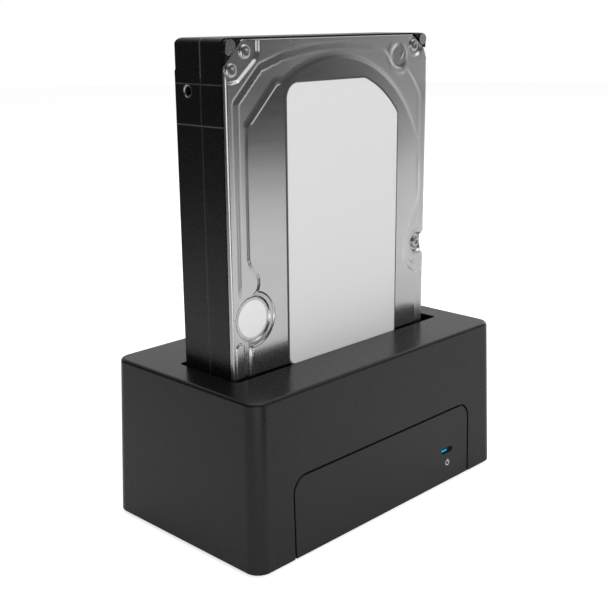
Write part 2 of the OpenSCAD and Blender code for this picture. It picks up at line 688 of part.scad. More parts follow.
module drive_base() color([0.1, 0.1, 0.105]) at_drive() difference() {
  union() {
    slab(gasket_d, board_d) rect_round(pad_t, drive_w - pad_t, 0, drive_l, 2);
    slab(board_d - eps, drive_t - back_step) difference() {
      rect_round(pad_t, drive_w - pad_t, 0, drive_l, 2);
      rect(board_side - 0.4, drive_w - board_side + 0.4, -1, board_top + 0.4);
    }
    slab(board_d - eps, drive_t) difference() {
      rect_round(pad_t, drive_w - pad_t, 0, drive_l - 9.8, 1);
      rect(board_side - 0.4, drive_w - board_side + 0.4, -1, board_top + 0.4);
    }
    for (s = [0, drive_w - 2 * pad_t], v = [[side_hole_v[0] - 7, side_hole_v[0] + 4],
      [side_hole_v[1] - 11.6, side_hole_v[1] + 2.7]])
      slab(gasket_d + 0.6, drive_t - 0.4) rect(s, s + 2 * pad_t, v[0], v[1]);
    slab(1.3, gasket_d + eps) {
      polygon([[0.3, drive_l - 7.8], [7.6, drive_l - 0.3], [2, drive_l - 0.1], [0.3, drive_l - 2]]);
      polygon([[drive_w - 0.2, drive_l - 5.4], [drive_w - 7, drive_l - 0.3], [drive_w - 2, drive_l - 0.1],
        [drive_w - 0.2, drive_l - 2]]);
    }
    slab(1, gasket_d) {
      translate([2.5, drive_l - 2.5]) circle(2.1);
      translate([1.7, drive_l - 3.9]) circle(1.5);
      translate([drive_w - 2.2, drive_l - 2.3]) circle(2);
    }
  }
  slab(-1, cavity_d) cavity_outline();
  on_axis(spindle_at, cavity_d - 1) cylinder(h = 9, r = 14);
  slab(board_d - 2.6, drive_t + 1) rect_round(14, drive_w - 13.6, 14, 70, 3);
  slab(drive_t - plug_e - 4.4, drive_t + 1) rect(plug_u - 21.3, plug_u + 21.3, -1, 9.4);
  for (s = [0, 1], v = side_hole_v) translate([s * drive_w, drive_t - side_hole_d, v])
    rotate([0, s == 0 ? 90 : -90, 0]) {
      translate([0, 0, -1]) cylinder(h = tap_depth + 1, r = tap_r);
      translate([0, 0, -0.01]) cylinder(h = 0.5, r1 = 2.3, r2 = 1.8);
    }
  for (u = [bottom_hole_u, drive_w - bottom_hole_u], v = bottom_hole_v)
    on_axis([u, v], drive_t - tap_depth) cylinder(h = tap_depth + 1, r = tap_r);
  for (p = cover_screw_at) on_axis(p, gasket_d - 1) cylinder(h = 5, r = 1.1);
  for (p = drive_board_screw_at) on_axis(p, board_d - 4.5) cylinder(h = 5, r = 0.95);
  on_axis(pivot_at, cavity_d - 1) cylinder(h = 2.5, r = 2);
  translate([-1, drive_t - back_step - back_r, drive_l - back_r]) difference() {
    cube([drive_w + 2, back_r + 1, back_r + 1]);
    rotate([0, 90, 0]) cylinder(h = drive_w + 2, r = back_r);
  }
}

// Outer edge of the pressed steel cover
module cover_outline() {
  w = drive_w;
  l = drive_l;
  polygon([[0.2, 0.8], [w - 0.05, 0.8], [w - 0.05, 62.6], [w - 1.4, 63.4], [w - 1.4, 70.6],
    [w - 0.05, 71.6], [w - 0.05, l - 9.1], [w - 1.5, l - 5.7], [w - 8, l - 0.6], [8.2, l - 0.6],
    [0.2, l - 8.7]]);
}

// Right rim of the cover, level with the band; it stops at the right screw
module cover_right_rim() intersection() {
  cover_outline();
  union() {
    rect(drive_w - 4, drive_w, 1.6, 60);
    rect(drive_w - 4, drive_w, 74, drive_l - 14);
  }
}

// Label plateau: the arc over the platters, drawn in round the right screw and the seal
module plateau_outline() difference() {
  w = drive_w;
  polygon(concat([[7.6, 1.6], [7.6, drive_l - 28], [22.4, drive_l - 13.5]],
    arc(spindle_at, arc_r, 120, -10, 28), [[w - 9.2, 76], [w - 11.9, 70.4], [w - 12.7, 66],
    [w - 12, 62], [w - 9.6, 58.8], [w - 5.2, 55.4], [w - 4.7, 54], [w - 4.7, 1.6]]));
  translate(seal_at) circle(seal_pocket_r);
  translate([8.2, 68]) circle(4.2);
}

// Band round the plateau; the two steps at its left edge differ by an inset
module band_outline(inset) difference() {
  w = drive_w;
  l = drive_l;
  step = inset * 0.4;
  polygon([[3 + inset, 62.2], [3 + inset, l - 20 - step], [14.4 + inset, l - 8.8 - step],
    [25.4, l - 5.8], [w / 2 - 10.3, l - 3.8], [w / 2 + 4.7, l - 3.4], [w - 31.1, l - 4.4],
    [w - 23.2, l - 6], [w - 20.6, l - 10.2], [w - 15, l - 12], [w - 10.6, l - 12.6],
    [w - 6.6, l - 17], [w - 3 - step, l - 22], [w - 3 - step, 74], [w - 5.6, 73], [w - 9.6, 70],
    [w - 10.2, 66], [w - 8.6, 62], [w - 3.6, 57.6], [w - 3, 1.6], [7.4, 1.6], [7.4, 46], [16, 50],
    [16, 60], [12.4, 62.2]]);
  translate(seal_at) circle(seal_pocket_r - 1.5 + inset);
}

module cover_pads() {
  l = drive_l;
  polygon([[-1, l - 12.6], [2, l - 14], [5.6, l - 13.6], [13.4, l - 6.5], [14.8, l - 3.8],
    [14.8, l + 1], [4, l + 1]]);
  for (p = [cover_screw_at[2], cover_screw_at[3], cover_screw_at[4], cover_screw_at[5]])
    translate(p) circle(4);
}

module drive_cover() color([0.62, 0.62, 0.63]) at_drive() difference() {
  union() {
    slab(level_d[3], cover_d) cover_outline();
    slab(level_d[2], level_d[3] + eps) {
      band_outline(0);
      cover_right_rim();
      rect_round(1.8, 4.6, 1.6, 48.6, 1.3);
    }
    slab(level_d[1], level_d[2] + eps) {
      band_outline(1.6);
      cover_right_rim();
      rect_round(2.4, 4, 2, 48, 0.75);
    }
    slab(level_d[0], level_d[1] + eps) plateau_outline();
  }
  slab(-1, level_d[4]) cover_pads();
  slab(-1, level_d[4]) translate(dimple_at) circle(4.4);
  for (p = cover_screw_at) on_axis(p, -1) cylinder(h = 6, r = 1.3);
}

module cover_gasket() color([0.05, 0.05, 0.05]) at_drive() slab(cover_d, gasket_d) difference() {
  rect_round(1, drive_w - 1, 1.6, drive_l - 1.4, 1.5);
  cavity_outline(0.5);
  polygon([[-1, drive_l - 10.4], [10.4, drive_l + 1], [-1, drive_l + 1]]);
  polygon([[drive_w + 1, drive_l - 9.6], [drive_w - 9.6, drive_l + 1], [drive_w + 1, drive_l + 1]]);
  for (p = cover_screw_at) translate(p) circle(1.4);
}

module cover_screws() color([0.75, 0.75, 0.76]) at_drive() for (p = cover_screw_at)
  on_axis(p, level_d[4] - cover_head[1]) {
    difference() {
      cylinder(h = cover_head[1], r = cover_head[0]);
      translate([0, 0, -eps]) linear_extrude(0.6) lobes(1);
    }
    cylinder(h = 5.2, r = 1.05);
  }

// Six-lobed driver recess
module lobes(r) {
  circle(r * 0.78, $fn = 24);
  for (a = [0:60:300]) rotate(a) translate([r * 0.72, 0]) circle(r * 0.28, $fn = 16);
}

// Blank label: a rectangle whose upper right corner follows the plateau's arc
module drive_label() color([0.86, 0.86, 0.86]) at_drive() slab(0, label_t) {
  edge = arc(spindle_at, arc_r - label_in, label_a[0], label_a[1], 8);
  polygon(concat([[label_at[0] + label_r[1], label_at[1]], [edge[0][0], label_at[1]]], edge,
    arc([label_at[0] + label_r[0], edge[8][1] - label_r[0]], label_r[0], 90, 180, 6),
    arc(label_at + label_r[1] * [1, 1], label_r[1], 180, 270, 4)));
}

module round_seal() color([0.9, 0.9, 0.9]) at_drive() on_axis(seal_at, level_d[3] - label_t)
  cylinder(h = label_t, r = seal_r);

module drive_board() color([0.05, 0.25, 0.2]) at_drive() difference() {
  slab(board_d, board_d + 1) difference() {
    rect_round(board_side, drive_w - board_side, 0.8, board_top, 1.5);
    rect(plug_u - 21.5, plug_u + 21.5, -1, 9.6);
    translate(spindle_at) circle(14.6);
    polygon([[drive_w - 30, board_top + 1], [drive_w - 18, board_top - 21.6],
      [drive_w - 1, board_top - 21.6], [drive_w - 1, board_top + 1]]);
  }
  for (p = drive_board_screw_at) on_axis(p, board_d - 1) cylinder(h = 4, r = 1.2);
}

module drive_board_chips() color([0.06, 0.06, 0.065]) at_drive() {
  for (c = drive_chips) slab(board_d - c[4], board_d)
    rect_round(c[0] - c[2] / 2, c[0] + c[2] / 2, c[1] - c[3] / 2, c[1] + c[3] / 2, 0.3);
  row = drive_chip_row;
  for (i = [0:7]) slab(board_d - 0.8, board_d)
    rect(row[0] + i * row[2], row[0] + i * row[2] + row[3], row[1], row[1] + row[4]);
}

module drive_board_screws() color([0.7, 0.7, 0.72]) at_drive() for (p = drive_board_screw_at)
  on_axis(p, board_d + 1) {
    difference() {
      cylinder(h = 0.1, r = 2);
      translate([0, 0, 0.05]) linear_extrude(0.4) lobes(0.9);
    }
    translate([0, 0, -4.5]) cylinder(h = 4.52, r = 0.85);
  }

module drive_sata_plug() color([0.06, 0.06, 0.065]) at_drive()
  translate([plug_u, drive_t - plug_e, 0]) {
    difference() {
      translate([-21, -4, 0.3]) cube([42, 8, 9]);
      translate([-block_size[0] / 2 - 0.4, -block_size[1] / 2 - 0.4, -1])
        cube([block_size[0] + 0.8, block_size[1] + 0.8, 7]);
    }
    translate([0, 0, 1]) linear_extrude(5.2) blades();
  }

module spindle_motor() color([0.6, 0.6, 0.62]) at_drive() on_axis(spindle_at, 0) {
  shaft_end = platter_d[0] - 3;
  rotate_extrude() polygon([[0, shaft_end], [shaft_r, shaft_end], [shaft_r, 18.6], [4, 18.6], [4, 20],
    [13.9, 20], [13.9, drive_t - 1.2], [6, drive_t - 1.2], [6, drive_t - 0.6], [0, drive_t - 0.6]]);
  difference() {
    translate([0, 0, 16.2]) cylinder(h = 3.9, r = 9.6);
    translate([0, 0, 16]) cylinder(h = 4.2, r = 6);
  }
}

module spindle_hub() color([0.75, 0.75, 0.77]) at_drive() on_axis(spindle_at, 0) {
  top = platter_d[0] - 0.6;
  seat = platter_d[1] + platter_t;
  rotate_extrude() polygon([[shaft_r + run_gap, top], [hub_r, top], [hub_r, seat],
    [flange_r, seat], [flange_r, seat + 1.4], [12.4, seat + 1.4], [12.4, 19.4], [10.6, 19.4],
    [10.6, 15.6], [5.2, 15.6], [5.2, 18.2], [shaft_r + run_gap, 18.2]]);
}

module platters() color([0.8, 0.8, 0.82]) at_drive() for (d = platter_d) on_axis(spindle_at, d)
  difference() {
    cylinder(h = platter_t, r = platter_r, $fn = 96);
    translate([0, 0, -1]) cylinder(h = platter_t + 2, r = hub_r + run_gap);
  }

module platter_spacer() color([0.65, 0.65, 0.67]) at_drive()
  on_axis(spindle_at, platter_d[0] + platter_t) difference() {
    cylinder(h = platter_d[1] - platter_d[0] - platter_t, r = flange_r);
    translate([0, 0, -1]) cylinder(h = 9, r = hub_r + run_gap);
  }

module clamp_ring() color([0.7, 0.7, 0.72]) at_drive() on_axis(spindle_at, 0) difference() {
  d = platter_d[0];
  rotate_extrude() polygon([[4.2, d - 1.7], [flange_r - 1.6, d - 1.7], [flange_r, d - 0.8],
    [flange_r, d], [flange_r - 2.2, d], [flange_r - 2.2, d - 0.6], [4.2, d - 0.6]]);
  for (a = [0:60:300]) rotate(a) translate([8.6, 0, 0]) cylinder(h = 12, r = 1.2);
}

module clamp_screws() color([0.5, 0.5, 0.52]) at_drive() on_axis(spindle_at, platter_d[0] - 2.6)
  for (a = [0:60:300]) rotate(a) translate([8.6, 0, 0]) difference() {
    union() {
      cylinder(h = 0.9, r = 1.9);
      cylinder(h = 2, r = 1);
    }
    translate([0, 0, -eps]) linear_extrude(0.5) lobes(0.8);
  }

module pivot_post() color([0.7, 0.7, 0.72]) at_drive() on_axis(pivot_at, 0) rotate_extrude()
  polygon([[0, cover_d + 0.3], [pivot_r, cover_d + 0.3], [pivot_r, cavity_d - 1.2], [4.4, cavity_d - 1.2],
    [4.4, cavity_d], [1.9, cavity_d], [1.9, cavity_d + 1.4], [0, cavity_d + 1.4]]);

// Parked arm outline: it narrows from the pivot towards the heads
module arm_outline(reach) {
  w = 6.2;
  polygon([polar(pivot_at, w, park_a + 90), polar(pivot_at, w, park_a - 90),
    polar(polar(pivot_at, reach, park_a), 1.7, park_a - 90),
    polar(polar(pivot_at, reach, park_a), 1.7, park_a + 90)]);
  translate(polar(pivot_at, reach, park_a)) circle(1.7);
}

module arm_stack() color([0.72, 0.72, 0.74]) at_drive() difference() {
  union() {
    slab(arm_d[0], arm_d[2] + arm_t) translate(pivot_at) circle(7);
    for (d = arm_d) slab(d, d + arm_t) difference() {
      arm_outline(arm_l - 18);
      translate(polar(pivot_at, 18, park_a)) circle(2.6);
    }
    mid = park_a + 180;
    slab(coil_mid_d - 1.6, coil_mid_d + 1.6) for (s = [-1, 1])
      polygon([polar(pivot_at, 5, mid + s * 60), polar(pivot_at, 17, mid + s * (coil_a + 7)),
        polar(pivot_at, 17.6, mid + s * (coil_a + 0.4)), polar(pivot_at, 5.5, mid + s * coil_a)]);
  }
  on_axis(pivot_at, 0) cylinder(h = 30, r = pivot_r + run_gap);
}

// Annular sector about the pivot, opposite the arm
module sector(r0, r1, a0, a1) polygon(concat(arc(pivot_at, r1, a0, a1, 12), arc(pivot_at, r0, a1, a0, 12)));

module voice_coil() color([0.7, 0.4, 0.2]) at_drive() slab(coil_mid_d - 1.2, coil_mid_d + 1.2) {
  mid = park_a + 180;
  difference() {
    sector(coil_r[0], coil_r[1], mid - coil_a, mid + coil_a);
    sector(coil_r[0] + 3, coil_r[1] - 3, mid - coil_a + 9, mid + coil_a - 9);
    translate(pivot_at) circle(coil_r[0]);
  }
}

module head_suspensions() color([0.85, 0.85, 0.87]) at_drive()
  for (d = suspension_d) slab(d, d + 0.2) suspension();

module suspension() {
  root = polar(pivot_at, arm_l - 22, park_a);
  tip = polar(pivot_at, arm_l, park_a);
  polygon([polar(root, 1.5, park_a + 90), polar(root, 1.5, park_a - 90), polar(tip, 0.6, park_a - 90),
    polar(pivot_at, arm_l + 2, park_a), polar(tip, 0.6, park_a + 90)]);
}

module head_sliders() color([0.2, 0.2, 0.22]) at_drive()
  for (i = [0:3]) let (d = suspension_d[i] + (i % 2 == 0 ? 0.2 : -0.3)) slab(d, d + 0.3)
    translate(polar(pivot_at, arm_l - 1.4, park_a)) rotate(park_a) square([1.2, 1], center = true);

module magnet_yokes() color([0.78, 0.78, 0.8]) at_drive() {
  mid = park_a + 180;
  a0 = mid - 52;
  a1 = mid + 24;
  for (d = [[coil_mid_d - 5.6, coil_mid_d - 3.6], [coil_mid_d + 3.6, coil_mid_d + 5.6]]) slab(d[0], d[1])
    sector(8.6, 20, a0 - 8, a1 + 2);
  slab(coil_mid_d - 3.7, coil_mid_d - 1.8) sector(9.6, 18.6, a0, a1);
  slab(coil_mid_d + 1.8, coil_mid_d + 3.7) sector(9.6, 18.6, a0, a1);
  for (a = [a0 - 5, a1 + 0.4]) on_axis(polar(pivot_at, 18.9, a), coil_mid_d - 3.7)
    cylinder(h = cavity_d - coil_mid_d + 3.7, r = 1);
}

module head_ramp() color([0.9, 0.88, 0.8]) at_drive() difference() {
  slab(arm_d[0], cavity_d) translate(polar(pivot_at, arm_l + 3.6, park_a)) rotate(park_a)
    square([5, 4], center = true);
  for (d = suspension_d) slab(d - 0.5, d + 0.7)
    translate(polar(pivot_at, arm_l + 1.2, park_a)) rotate(park_a) square([3, 8], center = true);
}

module breather_filter() color([0.85, 0.85, 0.83]) at_drive() slab(cavity_d - filter_size[2], cavity_d)
  rect_round(7, 7 + filter_size[0], 14, 14 + filter_size[1], 2);

housing();
drive_well();
front_inlay();
base_cover();
light_pipe();
status_led();
main_board();
sata_receptacle();
sata_contacts();
usb_port_shell();
usb_port_tongue();
dc_jack();
dc_jack_pin();
switch_housing();
switch_rocker();
bridge_chip();
crystal();
power_inductors();
capacitors();
voltage_regulator();
board_screws();
base_screws();
rubber_feet();
drive_base();
drive_cover();
cover_gasket();
cover_screws();
drive_label();
round_seal();
drive_board();
drive_board_chips();
drive_board_screws();
drive_sata_plug();
spindle_motor();
spindle_hub();
platters();
platter_spacer();
clamp_ring();
clamp_screws();
pivot_post();
arm_stack();
voice_coil();
head_suspensions();
head_sliders();
magnet_yokes();
head_ramp();
breather_filter();
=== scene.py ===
from math import ceil, cos, pi, radians, sin, tan

import bmesh
import bpy
import numpy as np
from mathutils import Matrix, Vector
from mathutils.geometry import delaunay_2d_cdt
from numpy.lib.stride_tricks import sliding_window_view


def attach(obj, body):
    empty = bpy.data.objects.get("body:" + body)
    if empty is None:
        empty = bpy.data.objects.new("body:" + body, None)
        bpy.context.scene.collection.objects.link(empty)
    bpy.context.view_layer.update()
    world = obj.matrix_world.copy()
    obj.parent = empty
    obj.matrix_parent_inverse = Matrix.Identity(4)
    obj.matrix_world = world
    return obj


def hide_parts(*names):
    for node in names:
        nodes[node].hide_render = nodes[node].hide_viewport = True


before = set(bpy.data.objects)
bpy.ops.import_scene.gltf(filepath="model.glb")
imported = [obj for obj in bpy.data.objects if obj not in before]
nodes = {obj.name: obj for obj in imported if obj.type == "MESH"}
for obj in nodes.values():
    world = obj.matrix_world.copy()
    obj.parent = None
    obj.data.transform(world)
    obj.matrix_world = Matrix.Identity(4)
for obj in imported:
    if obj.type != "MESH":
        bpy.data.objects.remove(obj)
scene = bpy.context.scene
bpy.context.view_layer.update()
mm = 0.001
print("frame loaded:", len(nodes), "nodes")


# ---- node wrapper, used for materials and for Geometry Nodes alike

class Socket:
    # an output of a node; Python's operators on it, set below, add Math nodes
    def __init__(self, tree, output):
        self.tree, self.output = tree, output

    def node(self, kind, inputs=None, settings=None, out=0):
        made = self.tree.nodes.new(kind)
        for key, value in (settings or {}).items():
            setattr(made, key, value)
        for key, value in (inputs or {}).items():
            if isinstance(value, Socket):
                self.tree.links.new(value.output, made.inputs[key])
            else:
                made.inputs[key].default_value = value
        return Socket(self.tree, made.outputs[out])

    def math(self, operation, first, second=0.0, clamp=False):
        settings = {"operation": operation, "use_clamp": clamp}
        return self.node("ShaderNodeMath", {0: first, 1: second}, settings)


def overload(name, operation, reflected=True):
    setattr(Socket, f"__{name}__", lambda first, second: first.math(operation, first, second))
    if reflected:
        setattr(Socket, f"__r{name}__", lambda first, second: first.math(operation, second, first))


operators = dict(add="ADD", sub="SUBTRACT", mul="MULTIPLY", truediv="DIVIDE", pow="POWER")
for name, operation in operators.items():
    overload(name, operation)
overload("lt", "LESS_THAN", False)
overload("gt", "GREATER_THAN", False)


def ease(value, low, high):
    limits = {"Value": value, "From Min": low, "From Max": high}
    return value.node("ShaderNodeMapRange", limits, {"interpolation_type": "SMOOTHSTEP"})


def parts(vector):
    return [vector.node("ShaderNodeSeparateXYZ", {0: vector}, out=i) for i in range(3)]


def scaled(vector, factors):
    return vector.node("ShaderNodeVectorMath", {0: vector, 1: factors}, {"operation": "MULTIPLY"})


def noise(vector, factors, detail=2.0, rough=0.5):
    return vector.node("ShaderNodeTexNoise", {"Vector": scaled(vector, factors), "Scale": 1.0,
            "Detail": detail, "Roughness": rough})


def tint(factor, first, second):
    return factor.node("ShaderNodeMix", {0: factor, 6: first, 7: second}, {"data_type": "RGBA"}, out=2)


def bump(height, strength, distance):
    inputs = {"Height": height, "Strength": strength, "Distance": distance}
    return height.node("ShaderNodeBump", inputs)


def grey(tone):
    return (tone, tone, tone, 1.0)


def shade(colour, factor=1.0):
    return (*[c * factor for c in colour], 1.0)


def emptyTree(owner):
    owner.use_nodes = True
    owner.node_tree.nodes.clear()
    return owner.node_tree


def source(tree, kind, *names):
    outputs = tree.nodes.new("ShaderNode" + kind).outputs
    return [Socket(tree, outputs[name]) for name in names]


def toOutput(tree, shader, kind="Material"):
    tree.links.new(shader, tree.nodes.new("ShaderNodeOutput" + kind).inputs[0])


def principled(name, colour, rough, metal=0.0, **constants):
    # a material, its Principled shader and the place of the shaded point
    made = bpy.data.materials.new(name)
    tree = emptyTree(made)
    shader = tree.nodes.new("ShaderNodeBsdfPrincipled")
    toOutput(tree, shader.outputs[0])
    base = grey(colour) if isinstance(colour, float) else shade(colour)
    for key, value in {"Base Color": base, "Roughness": rough, "Metallic": metal, **constants}.items():
        shader.inputs[key.replace("_", " ")].default_value = value
    return made, shader, *source(tree, "TexCoord", "Object")


def feed(shader, **values):
    for key, value in values.items():
        value.tree.links.new(value.output, shader.inputs[key.replace("_", " ")])


# ---- materials: tones and gloss are shares, lengths are in mm

def mouldedPlastic(name, tone, rough, texture=0.05, size=0.45, shine=0.5, hue=(1.0, 1.0, 1.0)):
    # spark-eroded ABS: fine grain in the gloss and the surface, soft clouds in the tone
    colour = tuple(tone * h for h in hue)
    dark, pale, glossSpread, relief = 0.85, 1.2, 0.03, 0.2
    made, shader, place = principled(name, colour, rough, Specular_IOR_Level=shine)
    grain = noise(place, (1 / (size * mm),) * 3, 3.0, 0.6)
    cloud = noise(place, (45.0,) * 3, 2.0)
    feed(shader, Base_Color=tint(cloud, shade(colour, dark), shade(colour, pale)),
        Roughness=rough - glossSpread + 2 * glossSpread * grain,
        Normal=bump(grain, texture, relief * mm))
    return made


def brushedSteel(name, tone, rough, along=(40.0, 2600.0, 2600.0), pressedFrom=None):
    # grain along X: streaks in tone, gloss and height
    made, shader, place = principled(name, tone, rough, 1.0)
    streak = noise(place, along, 3.0, 0.65)
    fine = noise(place, tuple(4 * a for a in along), 1.0)
    cloud = noise(place, (35.0, 35.0, 90.0), 3.0)
    colour = tint(streak * 0.5 + cloud * 0.5, grey(tone * 0.9), grey(tone * 1.1))
    gloss = rough - 0.045 + 0.05 * streak + 0.05 * cloud
    if pressedFrom is not None:
        # the pressed levels behind this depth are duller, a little less so at the left
        x, y, z = parts(place)
        dulled, leftShare, leftEdge, leftEnd = 0.11, 0.04, -32, -18
        deep = ease(y, pressedFrom * mm, pressedFrom * mm + 0.3 * mm)
        left = 1 - ease(x, leftEdge * mm, leftEnd * mm)
        colour = tint(deep, colour, tint(streak, grey(tone * 1.02), grey(tone * 1.16)))
        gloss = gloss + (dulled - leftShare * left) * deep
    feed(shader, Base_Color=colour, Roughness=gloss, Normal=bump(streak + fine * 0.6, 0.02, 0.05 * mm))
    return made


def turnedMetal(name, tone, rough, size=0.35, hue=(1.0, 1.0, 1.0)):
    colour = tuple(tone * h for h in hue)
    made, shader, place = principled(name, colour, rough, 1.0)
    grain = noise(place, (1 / (size * mm),) * 3, 2.0)
    feed(shader, Base_Color=tint(grain, shade(colour, 0.85), shade(colour)),
        Roughness=rough - 0.05 + 0.12 * grain, Normal=bump(grain, 0.06, 0.05 * mm))
    return made


drive = dict(x=-54.1, y=-15.63, z=26.3, width=101.6, length=147.0)
castShape = dict(
    bossLow=141.2, bossDepth=1.04, threads=(28.5, 130.1), threadDepth=19.75, threadRadius=(2.1, 2.35),
    bareWithin=2.2, coatedWithin=0.21, seamDepth=13.2, seamHalf=(0.1, 0.45), seamFaint=0.35,
    # from the width near the sides on, these set the painted highlights along the side pads' edges: their
    # heights, strengths and half widths
    seamClear=(134, 135), padHighlightsWithin=0.6, padHighlights=((132.5, 0.7), (119.3, 1.0)), padHighlightHalf=(0.08, 0.34),
)


def castBlack():
    # black-coated casting: machined bosses and thread mouths are bare, a mould seam a little paler, and
    # paler lines along the side pads' edges are a painted highlight
    c = castShape
    made, shader, place = principled("castBlack", 0.003, 0.3)
    x, y, z = parts(place)
    left, front, low = drive["x"] * mm, drive["y"] * mm, drive["z"] * mm
    grain = noise(place, (2200.0,) * 3, 4.0, 0.65)
    cloud = noise(place, (60.0,) * 3, 3.0)

    def line(offset, half):
        return 1 - ease(place.math("ABSOLUTE", offset), half[0] * mm, half[1] * mm)

    def nearSides(within):
        return (x < left + within * mm) + (x > left + (drive["width"] - within) * mm)

    bosses = (z > low + c["bossLow"] * mm) * (y < front + c["bossDepth"] * mm)
    holes = 0.0
    for v in c["threads"]:
        dy, dz = y - (front + c["threadDepth"] * mm), z - (low + v * mm)
        holes = 1 - ease(dy * dy + dz * dz, *[(r * mm) ** 2 for r in c["threadRadius"]]) + holes
    coated = c["coatedWithin"]
    inside = (x > left + coated * mm) * (x < left + (drive["width"] - coated) * mm)
    bare = place.math("MAXIMUM", bosses, holes * nearSides(c["bareWithin"]) * inside, True)
    seamAndPadHighlights = line(y - (front + c["seamDepth"] * mm), c["seamHalf"])
    faint = c["seamFaint"]
    seamAndPadHighlights = seamAndPadHighlights * (faint + (1 - faint) * ease(z, *[low + v * mm for v in c["seamClear"]]))
    # painted highlight: paler lines along the edges of the side pads, near both sides of the casting,
    # added to the mould seam
    padHighlightSides = nearSides(c["padHighlightsWithin"])
    for v, strength in c["padHighlights"]:
        seamAndPadHighlights = seamAndPadHighlights.math("MAXIMUM", seamAndPadHighlights, line(z - (low + v * mm), c["padHighlightHalf"]) * padHighlightSides * strength)
    coat = tint(cloud, grey(0.002), grey(0.004))
    feed(shader, Base_Color=tint(bare, tint(seamAndPadHighlights, coat, grey(0.09)), grey(0.5)), Metallic=bare,
        Roughness=0.2 + 0.14 * grain, Normal=bump(grain + seamAndPadHighlights * 0.9, 0.22, 0.12 * mm))
    return made


def circuitBoard(name, mask, upright=False):
    # solder mask over copper traces, with a scatter of tinned vias
    made, shader, place = principled(name, mask, 0.3)
    x, y, z = parts(place)
    flat = place.node("ShaderNodeCombineXYZ", {0: x * 1000, 1: (z if upright else y) * 1000})

    def bricks(scale, gap, smooth, width, height):
        return flat.node("ShaderNodeTexBrick", {
            "Vector": flat, "Scale": scale, "Mortar Size": gap, "Mortar Smooth": smooth,
            "Brick Width": width, "Row Height": height}, out=1)

    cells, fine = bricks(0.32, 0.03, 0.4, 0.9, 0.32), bricks(0.9, 0.035, 0.3, 1.7, 0.24)
    zone = ease(noise(flat, (0.09,) * 3, 1.0), 0.46, 0.54)
    trace = place.math("MAXIMUM", cells * (1 - zone), fine * zone)
    dots = flat.node("ShaderNodeTexVoronoi", {"Vector": flat, "Scale": 0.42, "Randomness": 0.7})
    via = 1 - ease(dots, 0.09, 0.13)
    pale, tinned = tuple(min(1.0, m * 1.9 + 0.01) for m in mask), (0.62, 0.6, 0.52)
    feed(shader, Base_Color=tint(via, tint(trace, shade(mask), shade(pale)), shade(tinned)),
        Metallic=via * 0.9, Roughness=0.34 - 0.08 * trace, Normal=bump(trace + via * 1.5, 0.25, 0.06 * mm))
    return made


def paperLabel(name, tone, rough):
    made, shader, place = principled(name, tone, rough, Specular_IOR_Level=0.3)
    fibre = noise(place, (900.0,) * 3, 3.0)
    feed(shader, Base_Color=tint(fibre, grey(tone * 0.985), grey(tone * 1.01)),
        Roughness=rough - 0.03 + 0.06 * fibre, Normal=bump(fibre, 0.02, 0.05 * mm))
    return made


def litPipe(middle, height, length):
    # smoked light pipe: the lamp behind it shows as a thin strip at the upper left
    made, shader, place = principled("litPipe", (0.002, 0.003, 0.004), 0.3, Specular_IOR_Level=0.02,
        Emission_Strength=1.0)
    x, y, z = parts(place)
    above, stripHalf = 0.28, (0.28, 0.42)
    unlit, lit, brightest = (0.0, 0.004, 0.006), (0.0, 0.36, 0.8), (0.0, 0.62, 1.0)
    across = 1 - ease(x, (middle - 0.1 * length) * mm, (middle + 0.02 * length) * mm)
    strip = 1 - ease(place.math("ABSOLUTE", z - (height + above) * mm), *[half * mm for half in stripHalf])
    glow = across * strip
    core = glow * ease(noise(place, (700.0,) * 3, 1.0), 0.2, 0.75)
    feed(shader, Emission_Color=tint(glow, shade(unlit), tint(core, shade(lit), shade(brightest))),
        Roughness=0.28 + 0.1 * noise(place, (1500.0,) * 3))
    return made


windowShape = dict(x=35.75, z=14.7, length=6.5, height=1.8)
# tone, roughness, texture, grain size, shine, hue
plastics = dict(
    housing=(0.007, 0.27, 0.055, 0.4, 0.38),
    inlay=(0.0075, 0.26, 0.045, 0.4, 0.38),
    well=(0.007, 0.45, 0.12, 0.5, 0.38),
    base=(0.016, 0.55, 0.2, 0.6),
    rubber=(0.02, 0.8, 0.25, 0.5),
    connector=(0.014, 0.45, 0.08, 0.3),
    rocker=(0.02, 0.3, 0.05, 0.5),
    chip=(0.018, 0.5, 0.2, 0.12),
    ferrite=(0.06, 0.6, 0.3, 0.15),
    gasket=(0.008, 0.7, 0.1, 0.4),
    portBlue=(0.5, 0.35, 0.05, 0.3, 0.5, (0.05, 0.28, 1.0)),
    ramp=(0.72, 0.4, 0.05, 0.4, 0.5, (1.0, 0.96, 0.82)),
    filter=(0.75, 0.85, 0.3, 0.25),
    ledBody=(0.8, 0.3, 0.02, 0.4),
    print=(0.5, 0.5, 0.02, 0.3),
    border=(0.05, 0.5, 0.02, 0.4),
)
